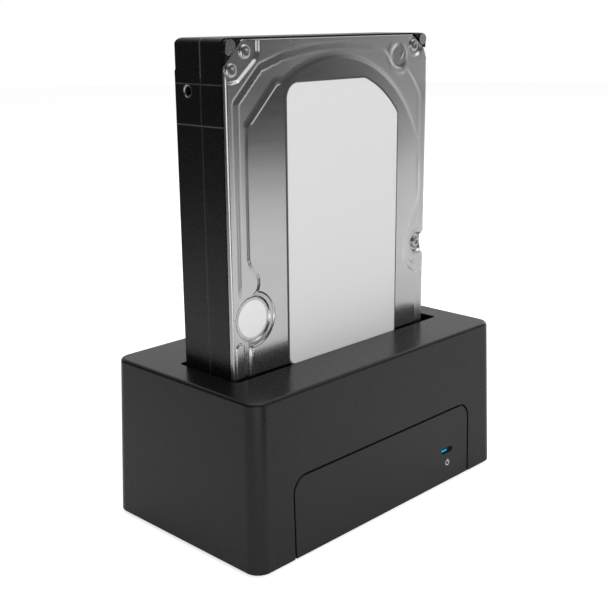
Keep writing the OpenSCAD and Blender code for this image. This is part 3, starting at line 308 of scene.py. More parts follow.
# tone, roughness, grain size, hue
metals = dict(
    screw=(0.56, 0.24), darkScrew=(0.35, 0.3), plated=(0.62, 0.26),
    gold=(0.9, 0.22, 0.3, (1.0, 0.74, 0.32)),
    alloy=(0.66, 0.32), capacitor=(0.68, 0.28), mirror=(0.82, 0.08, 4.0),
    copper=(0.8, 0.35, 0.2, (1.0, 0.5, 0.28)),
)
look = {name: mouldedPlastic(name, *values) for name, values in plastics.items()}
look.update({name: turnedMetal(name, *values) for name, values in metals.items()})
look.update(
    cast=castBlack(),
    cover=brushedSteel("cover", 0.57, 0.17, pressedFrom=drive["y"] + 0.25),
    bareSteel=brushedSteel("bareSteel", 0.6, 0.3, (2000.0, 2000.0, 60.0)),
    mainBoard=circuitBoard("mainBoard", (0.006, 0.05, 0.022)),
    driveBoard=circuitBoard("driveBoard", (0.004, 0.035, 0.03), upright=True),
    label=paperLabel("label", 0.682, 0.45),
    seal=paperLabel("seal", 0.79, 0.5),
    pipe=litPipe(windowShape["x"], windowShape["z"], windowShape["length"]),
)
print("materials made:", len(look))


# ---- mesh helpers

def linked(name, data):
    made = bpy.data.objects.new(name, data)
    scene.collection.objects.link(made)
    return made


def meshOf(name, points, faces=()):
    made = bpy.data.meshes.new(name)
    made.from_pydata([tuple(p) for p in points], [], list(faces))
    return made


def smooth(mesh):
    mesh.polygons.foreach_set("use_smooth", [True] * len(mesh.polygons))


def addPiece(name, mesh, material, body, replaced=(), sharp=30.0):
    piece = linked(name, mesh)
    if material is not None:
        mesh.materials.clear()
        mesh.materials.append(material)
    if sharp:
        smooth(mesh)
        mesh.set_sharp_from_angle(angle=radians(sharp))
    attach(piece, body)
    if replaced:
        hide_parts(*replaced)


def gathered(name, meshes):
    both = bmesh.new()
    for mesh in meshes:
        both.from_mesh(mesh)
    made = bpy.data.meshes.new(name)
    both.to_mesh(made)
    both.free()
    return made


def lofted(name, rings):
    # closed solid through rings of equally many points
    count, last = len(rings[0]), len(rings) - 1
    faces = []
    for r in range(last):
        low, high = r * count, (r + 1) * count
        faces += [[low + i, low + (i + 1) % count, high + (i + 1) % count, high + i] for i in range(count)]
    faces += [list(range(count)), [last * count + i for i in range(count)]]
    mesh = meshOf(name, [p for ring in rings for p in ring], faces)
    shell = bmesh.new()
    shell.from_mesh(mesh)
    bmesh.ops.remove_doubles(shell, verts=shell.verts, dist=1e-7)
    bmesh.ops.recalc_face_normals(shell, faces=shell.faces)
    shell.to_mesh(mesh)
    shell.free()
    return mesh


def evaluated(carrier, name):
    # the mesh that a carrier's modifiers give; the carrier itself goes
    bpy.context.view_layer.update()
    made = bpy.data.meshes.new_from_object(carrier.evaluated_get(bpy.context.evaluated_depsgraph_get()))
    bpy.data.objects.remove(carrier)
    made.name = name
    return made


def modified(mesh, name, steps):
    # the mesh after a list of (modifier type, settings)
    carrier = linked(name, mesh)
    for kind, settings in steps:
        step = carrier.modifiers.new(kind, kind)
        for key, value in settings.items():
            setattr(step, key, value)
    return evaluated(carrier, name)


def cut(mesh, name, cutters):
    holders = [linked(name + "Cutter", cutter) for cutter in cutters]
    made = modified(mesh, name, [("BOOLEAN", {"object": h, "operation": "DIFFERENCE", "solver": "EXACT"})
            for h in holders])
    for holder in holders:
        bpy.data.objects.remove(holder)
    return made


def softEdges(mesh, name, width, segments=2, angle=35.0):
    return modified(mesh, name, [
        ("BEVEL", {"width": width * mm, "segments": segments, "limit_method": "ANGLE",
            "angle_limit": radians(angle), "harden_normals": False, "miter_outer": "MITER_ARC"}),
        ("WEIGHTED_NORMAL", {"keep_sharp": False, "weight": 80})])


def softened(node, width, material, body, segments=2, name=None, angle=35.0):
    # a CAD node's own shape with its sharp edges rounded off
    mesh = nodes[node].data.copy()
    shell = bmesh.new()
    shell.from_mesh(mesh)
    bmesh.ops.remove_doubles(shell, verts=shell.verts, dist=2e-6)
    bmesh.ops.dissolve_degenerate(shell, edges=shell.edges, dist=2e-6)
    bmesh.ops.dissolve_limit(shell, angle_limit=radians(0.6), verts=shell.verts, edges=shell.edges)
    shell.to_mesh(mesh)
    shell.free()
    smooth(mesh)
    soft = softEdges(mesh, node, width, segments, angle)
    addPiece(name or node + "_soft", soft, material, body, (node,), sharp=0)


def dress(material, *names):
    for name in names:
        data = nodes[name].data
        data.materials.clear()
        data.materials.append(material)
        smooth(data)


def filleted(corners, radius, step=0.35):
    # closed outline with rounded corners; a corner may carry its own radius as a third number
    points = []
    for i, corner in enumerate(corners):
        at = Vector(corner[:2])
        before = Vector(corners[i - 1][:2]) - at
        after = Vector(corners[(i + 1) % len(corners)][:2]) - at
        reach = min(before.length, after.length) * 0.49
        before.normalize()
        after.normalize()
        turn = pi - before.angle(after)
        if turn < 0.01:
            points.append(at)
            continue
        own = corner[2] if len(corner) > 2 else radius
        run = min(own * tan(turn / 2), reach)
        own = run / tan(turn / 2)
        centre = at + (before + after).normalized() * (own / cos(turn / 2))
        start, end = at + before * run - centre, at + after * run - centre
        count = max(2, ceil(turn * own / step))
        sweep = start.angle_signed(end)
        points += [centre + Matrix.Rotation(-sweep * k / count, 2) @ start for k in range(count + 1)]
    return np.array([tuple(p) for p in points])


def arc(centre, radius, first, last, count):
    return [(centre[0] + radius * cos(radians(first + (last - first) * i / count)),
            centre[1] + radius * sin(radians(first + (last - first) * i / count)))
        for i in range(count + 1)]


def prism(name, outline, place, near, far):
    # outline prism between two depths; place(u, v, depth) gives the point in metres
    return lofted(name, [[place(u, v, near) for u, v in outline], [place(u, v, far) for u, v in outline]])


def atDrive(u, v, d):
    # u across, v up and d deep from the drive's lower left front corner
    return ((drive["x"] + u) * mm, (drive["y"] + d) * mm, (drive["z"] + v) * mm)


# ---- pressed steel cover of the drive, in mm in the plane of its front face

coverShape = dict(
    # depths behind the foremost point
    rim=1.2, band=0.6, plateau=0.15, pad=1.9, underside=2.6, ribTop=0.4, sealTread=0.62, sealFloor=1.2,
    topRise=0.35, leftRise=0.4, rightRim=0.6, lip=0.08, crest=0.11,
    # widths of the pressed walls
    leftWall=0.95, rightCut=0.3, plateauWall=2.4, rampWall=1.3, softWall=1.5, padWall=1.15, lobeWall=0.7,
    ribWall=0.5, pocketWall=0.8, beadWall=0.6, edgeRound=0.25, broadBend=1.2,
    # where one kind of wall goes over into another, as (first, last)
    softLeft=(15, 29), softTop=(90, 110), softRight=(60, 70), rightRimZone=((95.5, 3), (125, 7)),
    broadTop=(108, 122), broadLeft=(20, 30), rightEnd=(88, 92), lowEnd=(58.5, 55.5), sealClear=(11, 13),
    # rolled lips beside the ramp, on the plateau's edge and on the bead
    lipWidth=0.46, lipFoot=0.8, lipTop=0.3, lipFade=0.7, crestIn=1.2, crestWidth=0.32,
    crestGap=(15, 127.5, 9, 1.5), beadLip=(0.55, 0.35), screwPad=(3.7, 1.2),
    arcCentre=(50.8, 93.0), arcRadius=47.6, sealCentre=(9.3, 54.8), sealPocket=9.45, sealBead=7.75,
)
dimpleShape = dict(at=(85.4, 139.1), radius=4.2, wall=1.7, depth=1.08, tilt=(0.09, 0.05),
    lip=0.07, lipOut=1.6, lipWidth=0.8, lipSpread=7, glint=0.16, glintAt=(1.5, 0.2), glintSlant=0.35,
    glintSize=(0.35, 1.1))
coverGrid = dict(finest=0.25, blocks=(8, 4, 2, 1), spread=0.036, weight=3, clear=0.12,
    insets=(0.03, 0.1, 0.22, 0.38, 0.6), keep=0.02, probe=0.03, borderLean=0.35)


def coverOutlines():
    # corners as (u, v) or (u, v, own radius)
    w, l = drive["width"], drive["length"]
    outer = [(0.2, 0.8), (w - 0.05, 0.8), (w - 0.05, 62.6), (w - 1.4, 63.4), (w - 1.4, 70.6),
        (w - 0.05, 71.6), (w - 0.05, l - 9.1, 3), (w - 1.5, l - 5.7, 2), (w - 8, l - 0.6),
        (8.2, l - 0.6), (0.2, l - 8.7, 2.5)]
    plateau = ([(7.5, 1.6), (7.5, l - 27.2, 2), (21.0, l - 13.7, 3)]
        + arc(coverShape["arcCentre"], coverShape["arcRadius"], 122, -10, 40)
        + [(w - 9.2, 76), (w - 11.9, 70.4), (w - 12.7, 66), (w - 12, 62), (w - 9.6, 58.8),
            (w - 5.2, 55.4), (w - 4.7, 54), (w - 4.7, 1.6)])
    band = [(3.0, 62.2, 1), (3.0, l - 20, 2), (14.4, l - 8.8, 3), (25.4, l - 5.4), (40.5, l - 3.2),
        (55.5, l - 2.8), (70.5, l - 3.8), (78.4, l - 5.4), (81, l - 9.8), (86.6, l - 12.0),
        (91, l - 12.6), (95, l - 17), (98.6, l - 22), (98.6, 74), (96, 73), (92, 70), (91.4, 66),
        (93, 62), (98, 57.6), (98.6, 1.6), (6.7, 1.6), (6.7, 45), (16, 50), (16, 60), (12.4, 62.2, 1)]
    pad = [(-3, l - 12.6), (2, l - 14), (5.4, l - 13.4), (13.2, l - 6.9), (14.3, l - 4.6),
        (14.3, l + 3), (-3, l + 3)]
    rib = [(1.35, -6), (4.85, -6), (4.85, 47.2), (1.35, 47.2)]
    lobe = [(-5, 62.3), (6.4, 62.3), (8.6, 62.5), (10.3, 63.3), (11.4, 64.6), (12.0, 66.4), (11.9, 68.4),
        (11.1, 70.1), (9.9, 71.3), (8.8, 72.3), (8.1, 73.6), (7.7, 75.5), (-5, 75.5)]
    return dict(outer=filleted(outer, 1.2, 0.3), plateau=filleted(plateau, 5.0), band=filleted(band, 5.0),
        pad=filleted(pad, 2.2), rib=filleted(rib, 1.7), lobe=filleted(lobe, 1.2))


def exactDistance(points, loop):
    # distance to a closed outline, negative inside
    chunk, tiny = 6000, 1e-12
    start, end = loop, np.roll(loop, -1, 0)
    edge = end - start
    square = np.maximum((edge * edge).sum(1), tiny)
    rise = np.where(edge[:, 1] == 0, tiny, edge[:, 1])
    result = np.empty(len(points))
    for first in range(0, len(points), chunk):
        p = points[first:first + chunk, None, :]
        w = p - start
        t = np.clip((w * edge).sum(2) / square, 0, 1)
        gap = w - t[..., None] * edge
        crossing = (start[:, 1] <= p[..., 1]) != (end[:, 1] <= p[..., 1])
        at = start[:, 0] + (p[..., 1] - start[:, 1]) * edge[:, 0] / rise
        inside = (crossing & (p[..., 0] < at)).sum(1) % 2 == 1
        away = np.sqrt((gap * gap).sum(2).min(1))
        result[first:first + chunk] = np.where(inside, -away, away)
    return result


def signedDistance(points, loop, cell=1.5):
    # exact near the outline, its cell's own distance further away
    cells, home = np.unique(np.floor(points / cell), axis=0, return_inverse=True)
    rough = exactDistance((cells + 0.5) * cell, loop)[home.ravel()]
    close = np.abs(rough) < cell * 0.71 + 1.2
    rough[close] = exactDistance(points[close], loop)
    return rough


def pressed(distance, width):
    # 1 inside an outline, 0 outside, eased over the pressed wall
    t = np.clip(0.5 - distance / width, 0, 1)
    return t * t * (3 - 2 * t)


def grows(value, first, last):
    # 0 before first, 1 past last, straight in between
    return np.clip((value - first) / (last - first), 0, 1)


def ridge(value, width):
    return np.exp(-(value / width) ** 2)


def dimpled(depth, u, v):
    # a round dimple with a tilted floor, a lip at its lower left and a glint on its floor
    d = dimpleShape
    du, dv = u - d["at"][0], v - d["at"][1]
    away = np.hypot(du, dv) - d["radius"]
    lowerLeft = np.clip(0.5 - (du + dv) / d["lipSpread"], 0, 1)
    depth = depth - d["lip"] * ridge(away - d["lipOut"], d["lipWidth"]) * lowerLeft
    inside = pressed(away, d["wall"])
    depth = depth * (1 - inside) + (d["depth"] - d["tilt"][0] * du - d["tilt"][1] * dv) * inside
    (glintU, glintV), (wide, high) = d["glintAt"], d["glintSize"]
    glint = ridge(du - glintU - d["glintSlant"] * dv, wide) * ridge(dv - glintV, high)
    return depth - d["glint"] * glint


def coverDepth(points, outlines, screws):
    c = coverShape
    u, v = points[:, 0], points[:, 1]
    sealAway = np.hypot(u - c["sealCentre"][0], v - c["sealCentre"][1])
    away = {key: signedDistance(points, loop) for key, loop in outlines.items()}
    # crisp ramps on the left, soft ones at the top and right
    soft = grows(u, *c["softLeft"]) * np.maximum(grows(v, *c["softTop"]), grows(u, *c["softRight"]))
    (fromU, easedU), (belowV, easedV) = c["rightRimZone"]
    rightSide = pressed(fromU - u, easedU) * pressed(v - belowV, easedV)
    rim = c["rim"] - c["topRise"] * soft - c["leftRise"] * (1 - soft)
    rim = rim + (c["rightRim"] - rim) * rightSide
    ramp = c["rampWall"] + (c["softWall"] - c["rampWall"]) * soft
    # one pressed ramp with a rolled lip at its foot and one at its top
    foot = away["band"] / c["lipWidth"] - c["lipFoot"]
    top = (away["band"] + ramp + c["lipTop"]) / c["lipWidth"]
    lips = (ridge(top, 1) - ridge(foot, 1)) * (1 - c["lipFade"] * soft) * grows(sealAway, *c["sealClear"])
    rolled = np.clip(-away["band"] / ramp, 0, 1)
    rolled = rolled + (rolled * rolled * (3 - 2 * rolled) - rolled) * soft
    depth = rim - (rim - c["band"]) * rolled - c["lip"] * lips
    # the plateau, whose wall is broad except at the lower left and the lower right
    lobe = pressed(away["lobe"], c["lobeWall"])
    raised = np.maximum(away["plateau"], -away["lobe"])
    right = grows(u, *c["rightEnd"])
    broad = np.maximum(grows(v, *c["broadTop"]), grows(u, *c["broadLeft"]))
    broad = broad * (1 - right * grows(v, *c["lowEnd"]))
    wall = c["leftWall"] - c["rightCut"] * right + (c["plateauWall"] - c["leftWall"]) * broad
    rise = np.clip(0.5 - raised / wall, 0, 1)
    bend = c["broadBend"]
    rise = rise + (rise * rise * (1 + bend - bend * rise) - rise) * broad
    gapU, gapV, gapRadius, gapEnd = c["crestGap"]
    crest = ridge(raised + c["crestIn"], c["crestWidth"])
    crest = crest * pressed(np.hypot(u - gapU, v - gapV) - gapRadius, gapEnd)
    depth = depth - (c["band"] - c["plateau"]) * rise - c["crest"] * crest
    depth = depth - (depth - c["ribTop"]) * pressed(away["rib"], c["ribWall"])
    # the seal's pocket and the bead round its floor
    pocket = pressed(sealAway - c["sealPocket"], c["pocketWall"]) * (1 - lobe)
    fromBead, (lipAway, lipWidth) = sealAway - c["sealBead"], c["beadLip"]
    seat = c["sealTread"] + (c["sealFloor"] - c["sealTread"]) * pressed(fromBead, c["beadWall"])
    seat = seat - c["lip"] * ridge(fromBead - lipAway, lipWidth)
    depth = depth + np.maximum(seat - depth, 0) * pocket
    # pads under the screws; the first two share the corner's pad
    recess, (padRadius, padEase) = pressed(away["pad"], c["padWall"]), c["screwPad"]
    for su, sv in screws[2:]:
        recess = np.maximum(recess, pressed(np.hypot(u - su, v - sv) - padRadius, padEase))
    depth = dimpled(depth * (1 - recess) + c["pad"] * recess, u, v)
    fold = np.clip(c["edgeRound"] + away["outer"], 0, c["edgeRound"])
    return depth + c["edgeRound"] - np.sqrt(np.maximum(c["edgeRound"] ** 2 - fold ** 2, 0)), away["outer"]


def coverPoints(screws):
    # the field of depths on a fine grid decides where points are needed
    outlines, g = coverOutlines(), coverGrid
    loop, fine = outlines["outer"], g["finest"]
    size = [ceil(reach / fine / 8) * 8 + 1 for reach in (drive["width"], drive["length"])]
    grid = np.stack(np.meshgrid(*[np.arange(n) * fine for n in size], indexing="ij"), 2)
    field, away = (a.reshape(size) for a in coverDepth(grid.reshape(-1, 2), outlines, screws))
    slopes = np.gradient(field, fine)
    used = np.zeros(size, bool)
    active = np.ones([(n - 1) // 8 for n in size], bool)
    for block in g["blocks"]:
        spread = []
        for layer in (field * g["weight"], *slopes):
            windows = sliding_window_view(layer, (block + 1, block + 1))[::block, ::block]
            spread.append(windows.max((2, 3)) - windows.min((2, 3)))
        split = active & (np.max(spread, 0) > g["spread"]) & (block > 1)
        i, j = np.nonzero(active & ~split)
        for a, b in ((0, 0), (0, block), (block, 0), (block, block)):
            used[i * block + a, j * block + b] = True
        active = split.repeat(2, 0).repeat(2, 1)
    used &= away < -g["clear"]
    normal = np.roll(loop, -1, 0) - np.roll(loop, 1, 0)
    normal = np.stack([normal[:, 1], -normal[:, 0]], 1) / np.linalg.norm(normal, axis=1)[:, None]
    edges = np.concatenate([loop] + [loop - normal * inset for inset in g["insets"]])
    edges = edges[(signedDistance(edges, loop) < -g["keep"]) | (np.arange(len(edges)) < len(loop))]
    probe = g["probe"]
    above, below, right, left = (coverDepth(edges + shift, outlines, screws)[0]
        for shift in ((0, probe), (0, -probe), (probe, 0), (-probe, 0)))
    spots = np.concatenate([edges, grid[used]])
    slopeU = np.concatenate([(right - left) / (2 * probe), slopes[0][used]])
    slopeV = np.concatenate([(above - below) / (2 * probe), slopes[1][used]])
    depth = np.concatenate([coverDepth(edges, outlines, screws)[0], field[used]])
    return spots, depth, np.stack([slopeU, -np.ones(len(spots)), slopeV], 1), normal


def coverMesh(screws):
    # the points joined to a sheet, folded back along its border and closed underneath
    spots, depth, up, normal = coverPoints(screws)
    border = len(normal)
    made = delaunay_2d_cdt([Vector(p) for p in spots], [], [list(range(border))], 1, 1e-5)
    origin = np.array([old[0] for old in made[3]])
    flat, triangles = spots[origin], np.array(made[2])
    edge = [0] * border
    for new, old in enumerate(made[3]):
        for o in old:
            if o < border:
                edge[o] = new
    a, b, c = (flat[triangles[:, i]] for i in range(3))
    turned = (b[:, 0] - a[:, 0]) * (c[:, 1] - a[:, 1]) - (b[:, 1] - a[:, 1]) * (c[:, 0] - a[:, 0]) < 0
    triangles[turned] = triangles[turned][:, ::-1]
    up = up[origin]
    outward = np.stack([normal[:, 0], np.zeros(border), normal[:, 1]], 1)
    up[edge] = outward + (0, -coverGrid["borderLean"], 0)
    up /= np.linalg.norm(up, axis=1)[:, None]
    count = len(flat)
    points = [atDrive(u, v, d) for (u, v), d in zip(flat, depth[origin])]
    points += [atDrive(u, v, coverShape["underside"]) for u, v in flat[edge]]
    faces = [list(t) for t in triangles]
    corner = [up[i] for t in triangles for i in t]
    for k in range(border):
        n = (k + 1) % border
        faces.append([edge[k], count + k, count + n, edge[n]])
        corner += [outward[k], outward[k], outward[n], outward[n]]
    faces.append([count + k for k in range(border)][::-1])
    corner += [np.array((0.0, 1.0, 0.0))] * border
    mesh = meshOf("driveCover", points, faces)
    smooth(mesh)
    mesh.normals_split_custom_set([tuple(n) for n in corner])
    print("cover made of", len(faces), "faces")
    return mesh


coverScrews = [(3.0, 137.0), (9.1, 142.6), (94.8, 142.5), (97.8, 67.3), (4.2, 4.4), (97.2, 4.4)]
addPiece("steelCover", coverMesh(coverScrews), look["cover"], "drive", ("drive_cover",), 0)

labelShape = dict(left=25.2, low=33.6, arcInset=5.2, first=38.1, last=69.8, corners=(0.7, 2.0, 6.0, 3.8),
    border=0.75, borderDepth=(0.035, 0.15), paperDepth=(0.0, 0.13), soft=0.03)
sealShape = dict(radius=6.5, sides=96, depth=(1.05, 1.2), soft=0.05)


def labelOutline(inset):
    # straight at the left and below, with the arc of the plateau at the upper right
    s = labelShape
    radius = coverShape["arcRadius"] - s["arcInset"] - inset
    edge = arc(coverShape["arcCentre"], radius, s["first"], s["last"], 24)
    left, low = s["left"] + inset, s["low"] + inset
    (right, shoulder), (start, top) = edge[0], edge[-1]
    lowRight, arcEnds, topLeft, lowLeft = s["corners"]
    outline = [(right, low, lowRight), (right, shoulder, arcEnds)] + edge[2:-2] + [
        (start, top, arcEnds), (left, top, topLeft - inset), (left, low, lowLeft - inset)]
    return [tuple(p) for p in filleted(outline, 0.5, 0.3)]


def addPlate(name, outline, depth, soft, material, replaced=()):
    # thin plate with a soft rim on the drive's front
    mesh = softEdges(prism(name, outline, atDrive, *depth), name, soft, 2, 40)
    addPiece(name, mesh, material, "drive", replaced, 0)


# a dark ring round the paper: a plate a little wider than the label, set just behind it
addPlate("labelBorder", labelOutline(0.0), labelShape["borderDepth"], labelShape["soft"], look["border"],
    ("drive_label",))
addPlate("blankLabel", labelOutline(labelShape["border"]), labelShape["paperDepth"], labelShape["soft"],
    look["label"])
sealOutline = arc(coverShape["sealCentre"], sealShape["radius"], 0, 360 - 360 / sealShape["sides"],
    sealShape["sides"] - 1)
addPlate("roundSeal", sealOutline, sealShape["depth"], sealShape["soft"], look["seal"],
    ("round_seal",))
print("cover, label and seal made")


# ---- screws, contacts and pads grow from points with Geometry Nodes

def growTree(name, **inputs):
    # a node group with its inputs as sockets, and its output node
    tree = bpy.data.node_groups.new(name, "GeometryNodeTree")
    inputs = {"Geometry": "Geometry", **inputs, "Turn": "Vector", "Material": "Material"}
    for label, kind in inputs.items():
        tree.interface.new_socket(label, in_out="INPUT", socket_type="NodeSocket" + kind)
    tree.interface.new_socket("Geometry", in_out="OUTPUT", socket_type="NodeSocketGeometry")
    given = tree.nodes.new("NodeGroupInput")
    sink = tree.nodes.new("NodeGroupOutput")
    return tree, {s.name: Socket(tree, s) for s in given.outputs if s.name}, sink


def placed(shape, given, sink):
    # the shape on every point, turned, made real and given its material
    turn = shape.node("FunctionNodeEulerToRotation", {0: given["Turn"]})
    many = shape.node("GeometryNodeInstanceOnPoints", {"Points": given["Geometry"], "Instance": shape,
            "Rotation": turn})
    real = many.node("GeometryNodeRealizeInstances", {"Geometry": many})
    done = real.node("GeometryNodeSetMaterial", {"Geometry": real, "Material": given["Material"]})
    done.tree.links.new(done.output, sink.inputs[0])


torxHead = dict(headRadius=2.4, headHeight=0.9, crown=0.3, recessRadius=1.15, recessDepth=0.62, lobes=6.0,
    lobeShare=0.24, shankRadius=1.05, shankLength=4.0)
crossHead = dict(headRadius=2.6, headHeight=1.5, crown=0.22, recessRadius=1.5, recessDepth=1.0, lobes=4.0,
    lobeShare=0.72, shankRadius=1.25, shankLength=10.0)


def screwTree():
    # a crowned head with a lobed recess, and a plain shank; its inputs are the keys of torxHead
    tree, given, sink = growTree("screw", **{key: "Float" for key in torxHead})
    start, height = given["Geometry"], given["headHeight"]
    place = start.node("GeometryNodeInputPosition")
    x, y, z = parts(place)

    def cylinder(radius, depth, vertices, rings=1):
        return start.node("GeometryNodeMeshCylinder", {
            "Vertices": vertices, "Side Segments": rings, "Radius": radius, "Depth": depth})

    def moved(shape, *point):
        point = start.node("ShaderNodeCombineXYZ", dict(enumerate(point)))
        return start.node("GeometryNodeSetPosition", {"Geometry": shape, "Position": point})

    narrow = 1 - given["crown"] * (z / height + 0.5) ** 3.5
    head = moved(cylinder(given["headRadius"], height, 48, 10), x * narrow, y * narrow, z + height / 2)
    wave = place.math("COSINE", place.math("ARCTAN2", y, x) * given["lobes"])
    reach = given["recessRadius"] * (1 - given["lobeShare"] * (0.5 - 0.5 * wave))
    hole = moved(cylinder(1.0, given["recessDepth"] * 2, 72), x * reach, y * reach, z + height)
    bored = head.node("GeometryNodeMeshBoolean", {0: head, 1: hole},
        {"operation": "DIFFERENCE", "solver": "EXACT"})
    length = given["shankLength"]
    shank = moved(cylinder(given["shankRadius"], length, 24), x, y, z - length * 0.5)
    joined = tree.nodes.new("GeometryNodeJoinGeometry")
    tree.links.new(shank.output, joined.inputs[0])
    tree.links.new(bored.output, joined.inputs[0])
    placed(Socket(tree, joined.outputs[0]), given, sink)
    return tree


def blockTree():
    # a row of small blocks on every point, for contacts
    tree, given, sink = growTree("blockRow", count="Int", pitch="Vector", size="Vector")
    start = given["Geometry"]
    block = start.node("GeometryNodeMeshCube", {"Size": given["size"]})
    line = start.node("GeometryNodeMeshLine", {"Count": given["count"], "Offset": given["pitch"]})
    row = start.node("GeometryNodeInstanceOnPoints", {"Points": line, "Instance": block})
    placed(row.node("GeometryNodeRealizeInstances", {"Geometry": row}), given, sink)
    return tree


def padTree():
    # scattered round test pads on a face, with a fixed seed
    tree, given, sink = growTree("testPads", density="Float", spacing="Float", radius="Float",
        thickness="Float", seed="Int")
    start = given["Geometry"]
    given["Geometry"] = start.node("GeometryNodeDistributePointsOnFaces", {
        "Mesh": start, "Distance Min": given["spacing"], "Density Max": given["density"],
        "Seed": given["seed"]}, {"distribute_method": "POISSON"})
    placed(start.node("GeometryNodeMeshCylinder", {
        "Vertices": 20, "Radius": given["radius"], "Depth": given["thickness"]}), given, sink)
    return tree


def grown(name, tree, points, values, material, body, replaced=(), faces=()):
    # a carrier of points or faces, with one of the node groups above grown on it
    carrier = linked(name + "Points", meshOf(name, points, faces))
    step = carrier.modifiers.new("grow", "NODES")
    step.node_group = tree
    ids = {item.name: item.identifier for item in tree.interface.items_tree if item.in_out == "INPUT"}
    for key, value in {**values, "Material": material}.items():
        step[ids[key]] = value
    addPiece(name, evaluated(carrier, name), None, body, replaced)


screws, blocks, pads = screwTree(), blockTree(), padTree()
quarter = pi / 2
towardFront, towardBack = (quarter, 0.0, 0.0), (-quarter, 0.0, 0.0)
upward, downward = (0.0, 0.0, 0.0), (pi, 0.0, 0.0)


def screwSet(name, points, head, turn, material, body, node, **changes):
    # the shares and the number of lobes stay as they are, lengths go from mm to metres
    values = {key: value if key in ("crown", "lobes", "lobeShare") else value * mm
        for key, value in {**head, **changes}.items()}
    grown(name, screws, points, {**values, "Turn": turn}, material, body, (node,))


def atCorners(x, y, z):
    return [(x * a * mm, y * b * mm, z * mm) for a, b in corners]


boardScrews = [(9, 16), (92.6, 16), (9, 96), (89.6, 72), (60, 75.5)]
clampCircle = arc(coverShape["arcCentre"], 8.6, 0, 300, 5)
corners = [(-1, -1), (1, -1), (1, 1), (-1, 1)]
screwSet("coverScrews", [atDrive(u, v, coverShape["pad"]) for u, v in coverScrews], torxHead, towardFront,
    look["screw"], "drive", "cover_screws")
screwSet("driveBoardScrews", [atDrive(u, v, 26.0) for u, v in boardScrews], torxHead, towardBack,
    look["darkScrew"], "drive", "drive_board_screws", headRadius=2.0, headHeight=0.1, crown=0.1,
    recessRadius=1.0, recessDepth=0.06, shankRadius=0.85, shankLength=4.5)
screwSet("clampScrews", [atDrive(u, v, 6.3) for u, v in clampCircle], torxHead, towardFront,
    look["screw"], "platter_stack", "clamp_screws", headRadius=1.9, recessRadius=0.9,
    recessDepth=0.5, shankRadius=1.0, shankLength=1.1)
screwSet("baseScrews", atCorners(58.8, 29.8, 3.5), crossHead, downward, look["darkScrew"], "dock",
    "base_screws")
screwSet("boardScrews", atCorners(48, 24, 18), crossHead, upward, look["screw"], "dock", "board_screws",
    headRadius=2.1, headHeight=1.4, recessRadius=1.2, recessDepth=0.8, shankRadius=1.0,
    shankLength=6.0)
print("screws grown")


# ---- dock: housing, inlay, window

dock = dict(
    length=131.0, width=73.9, height=61.0, low=1.5, draft=1.72, corner=5.5, edge=1.2, wall=2.4, roof=2.6,
    foot=((0.0, 0.35), (0.1, 0.1), (0.35, 0.0)),
    slot=dict(x=0.3, y=-1.4, length=109.5, width=30.5, corner=1.6),
    inlay=(49.0, 30.7, 5.5), groove=0.7, inlayThick=1.4, inlayBack=0.02, ledge=2.5,
    ledgeLow=4.5, front=(-50.0, -30.0), back=30.0,
)
usbShape = dict(x=12.0, z=18.0, low=8.4, step=4.2, half=6.0, halfTop=4.4, corner=1.4, clear=0.25)
backOpenings = dict(jackCut=dict(x=38.0, z=23.5, halfX=4.7, halfZ=5.7),
    switchCut=dict(x=-34.0, z=24.4, halfX=7.5, halfZ=5.3))
slope = tan(radians(dock["draft"]))


def half(key, z):
    # half the length or width of the drafted housing at a height
    return dock[key] / 2 + (dock["height"] - z) * slope


def roundRect(centre, halfX, halfY, radius, segments):
    points = []
    for sx, sy, first in ((1, 1, 0), (-1, 1, 90), (-1, -1, 180), (1, -1, 270)):
        middle = (centre[0] + sx * (halfX - radius), centre[1] + sy * (halfY - radius))
        points += arc(middle, radius, first, first + 90, segments)
    return points


def draftedSolid(name, inset, levels, segments):
    # levels are (height, extra inset)
    rings = []
    for z, extra in levels:
        sides = [half(key, z) - inset - extra for key in ("length", "width")]
        radius = max(dock["corner"] - inset - extra, 0.6)
        rings.append([(x * mm, y * mm, z * mm) for x, y in roundRect((0, 0), *sides, radius, segments)])
    return lofted(name, rings)


def throughFront(x, z, y):
    return (x * mm, y * mm, z * mm)


def behindFront(x, z, depth):
    # a depth measured from the sloping front wall
    return (x * mm, (-half("width", z) + depth) * mm, z * mm)


def inlayOutline(grow, low):
    side, top, radius = dock["inlay"]
    return [(-side - grow, low), (side + grow, low)] \
        + arc((side - radius, top - radius), radius + grow, 0, 90, 16) \
        + arc((radius - side, top - radius), radius + grow, 90, 180, 16)


def windowOutline(grow):
    x, z, length, height = windowShape.values()
    side, r = (length - height) / 2, height / 2 + grow
    return arc((x + side, z), r, -90, 90, 12) + arc((x - side, z), r, 90, 270, 12)


def usbOutline(grow):
    # the type B port: a square with a narrower step on top
    s = usbShape
    wide, narrow, low = s["half"] + grow, s["halfTop"] + grow, s["low"]
    top, side = low + s["step"] + grow, low - s["corner"]
    right = [(wide, side), (wide - s["corner"], low + grow), (narrow, low + grow), (narrow, top)]
    left = [(-a, b) for a, b in reversed(right)]
    return [(s["x"] + a, s["z"] + b) for a, b in [(-wide, -grow), (wide, -grow)] + right + left]


def openingAt(name, depths, x, z, halfX, halfZ):
    outline = [(x + a * halfX, z + b * halfZ) for a, b in corners]
    return prism(name, outline, throughFront, *depths)


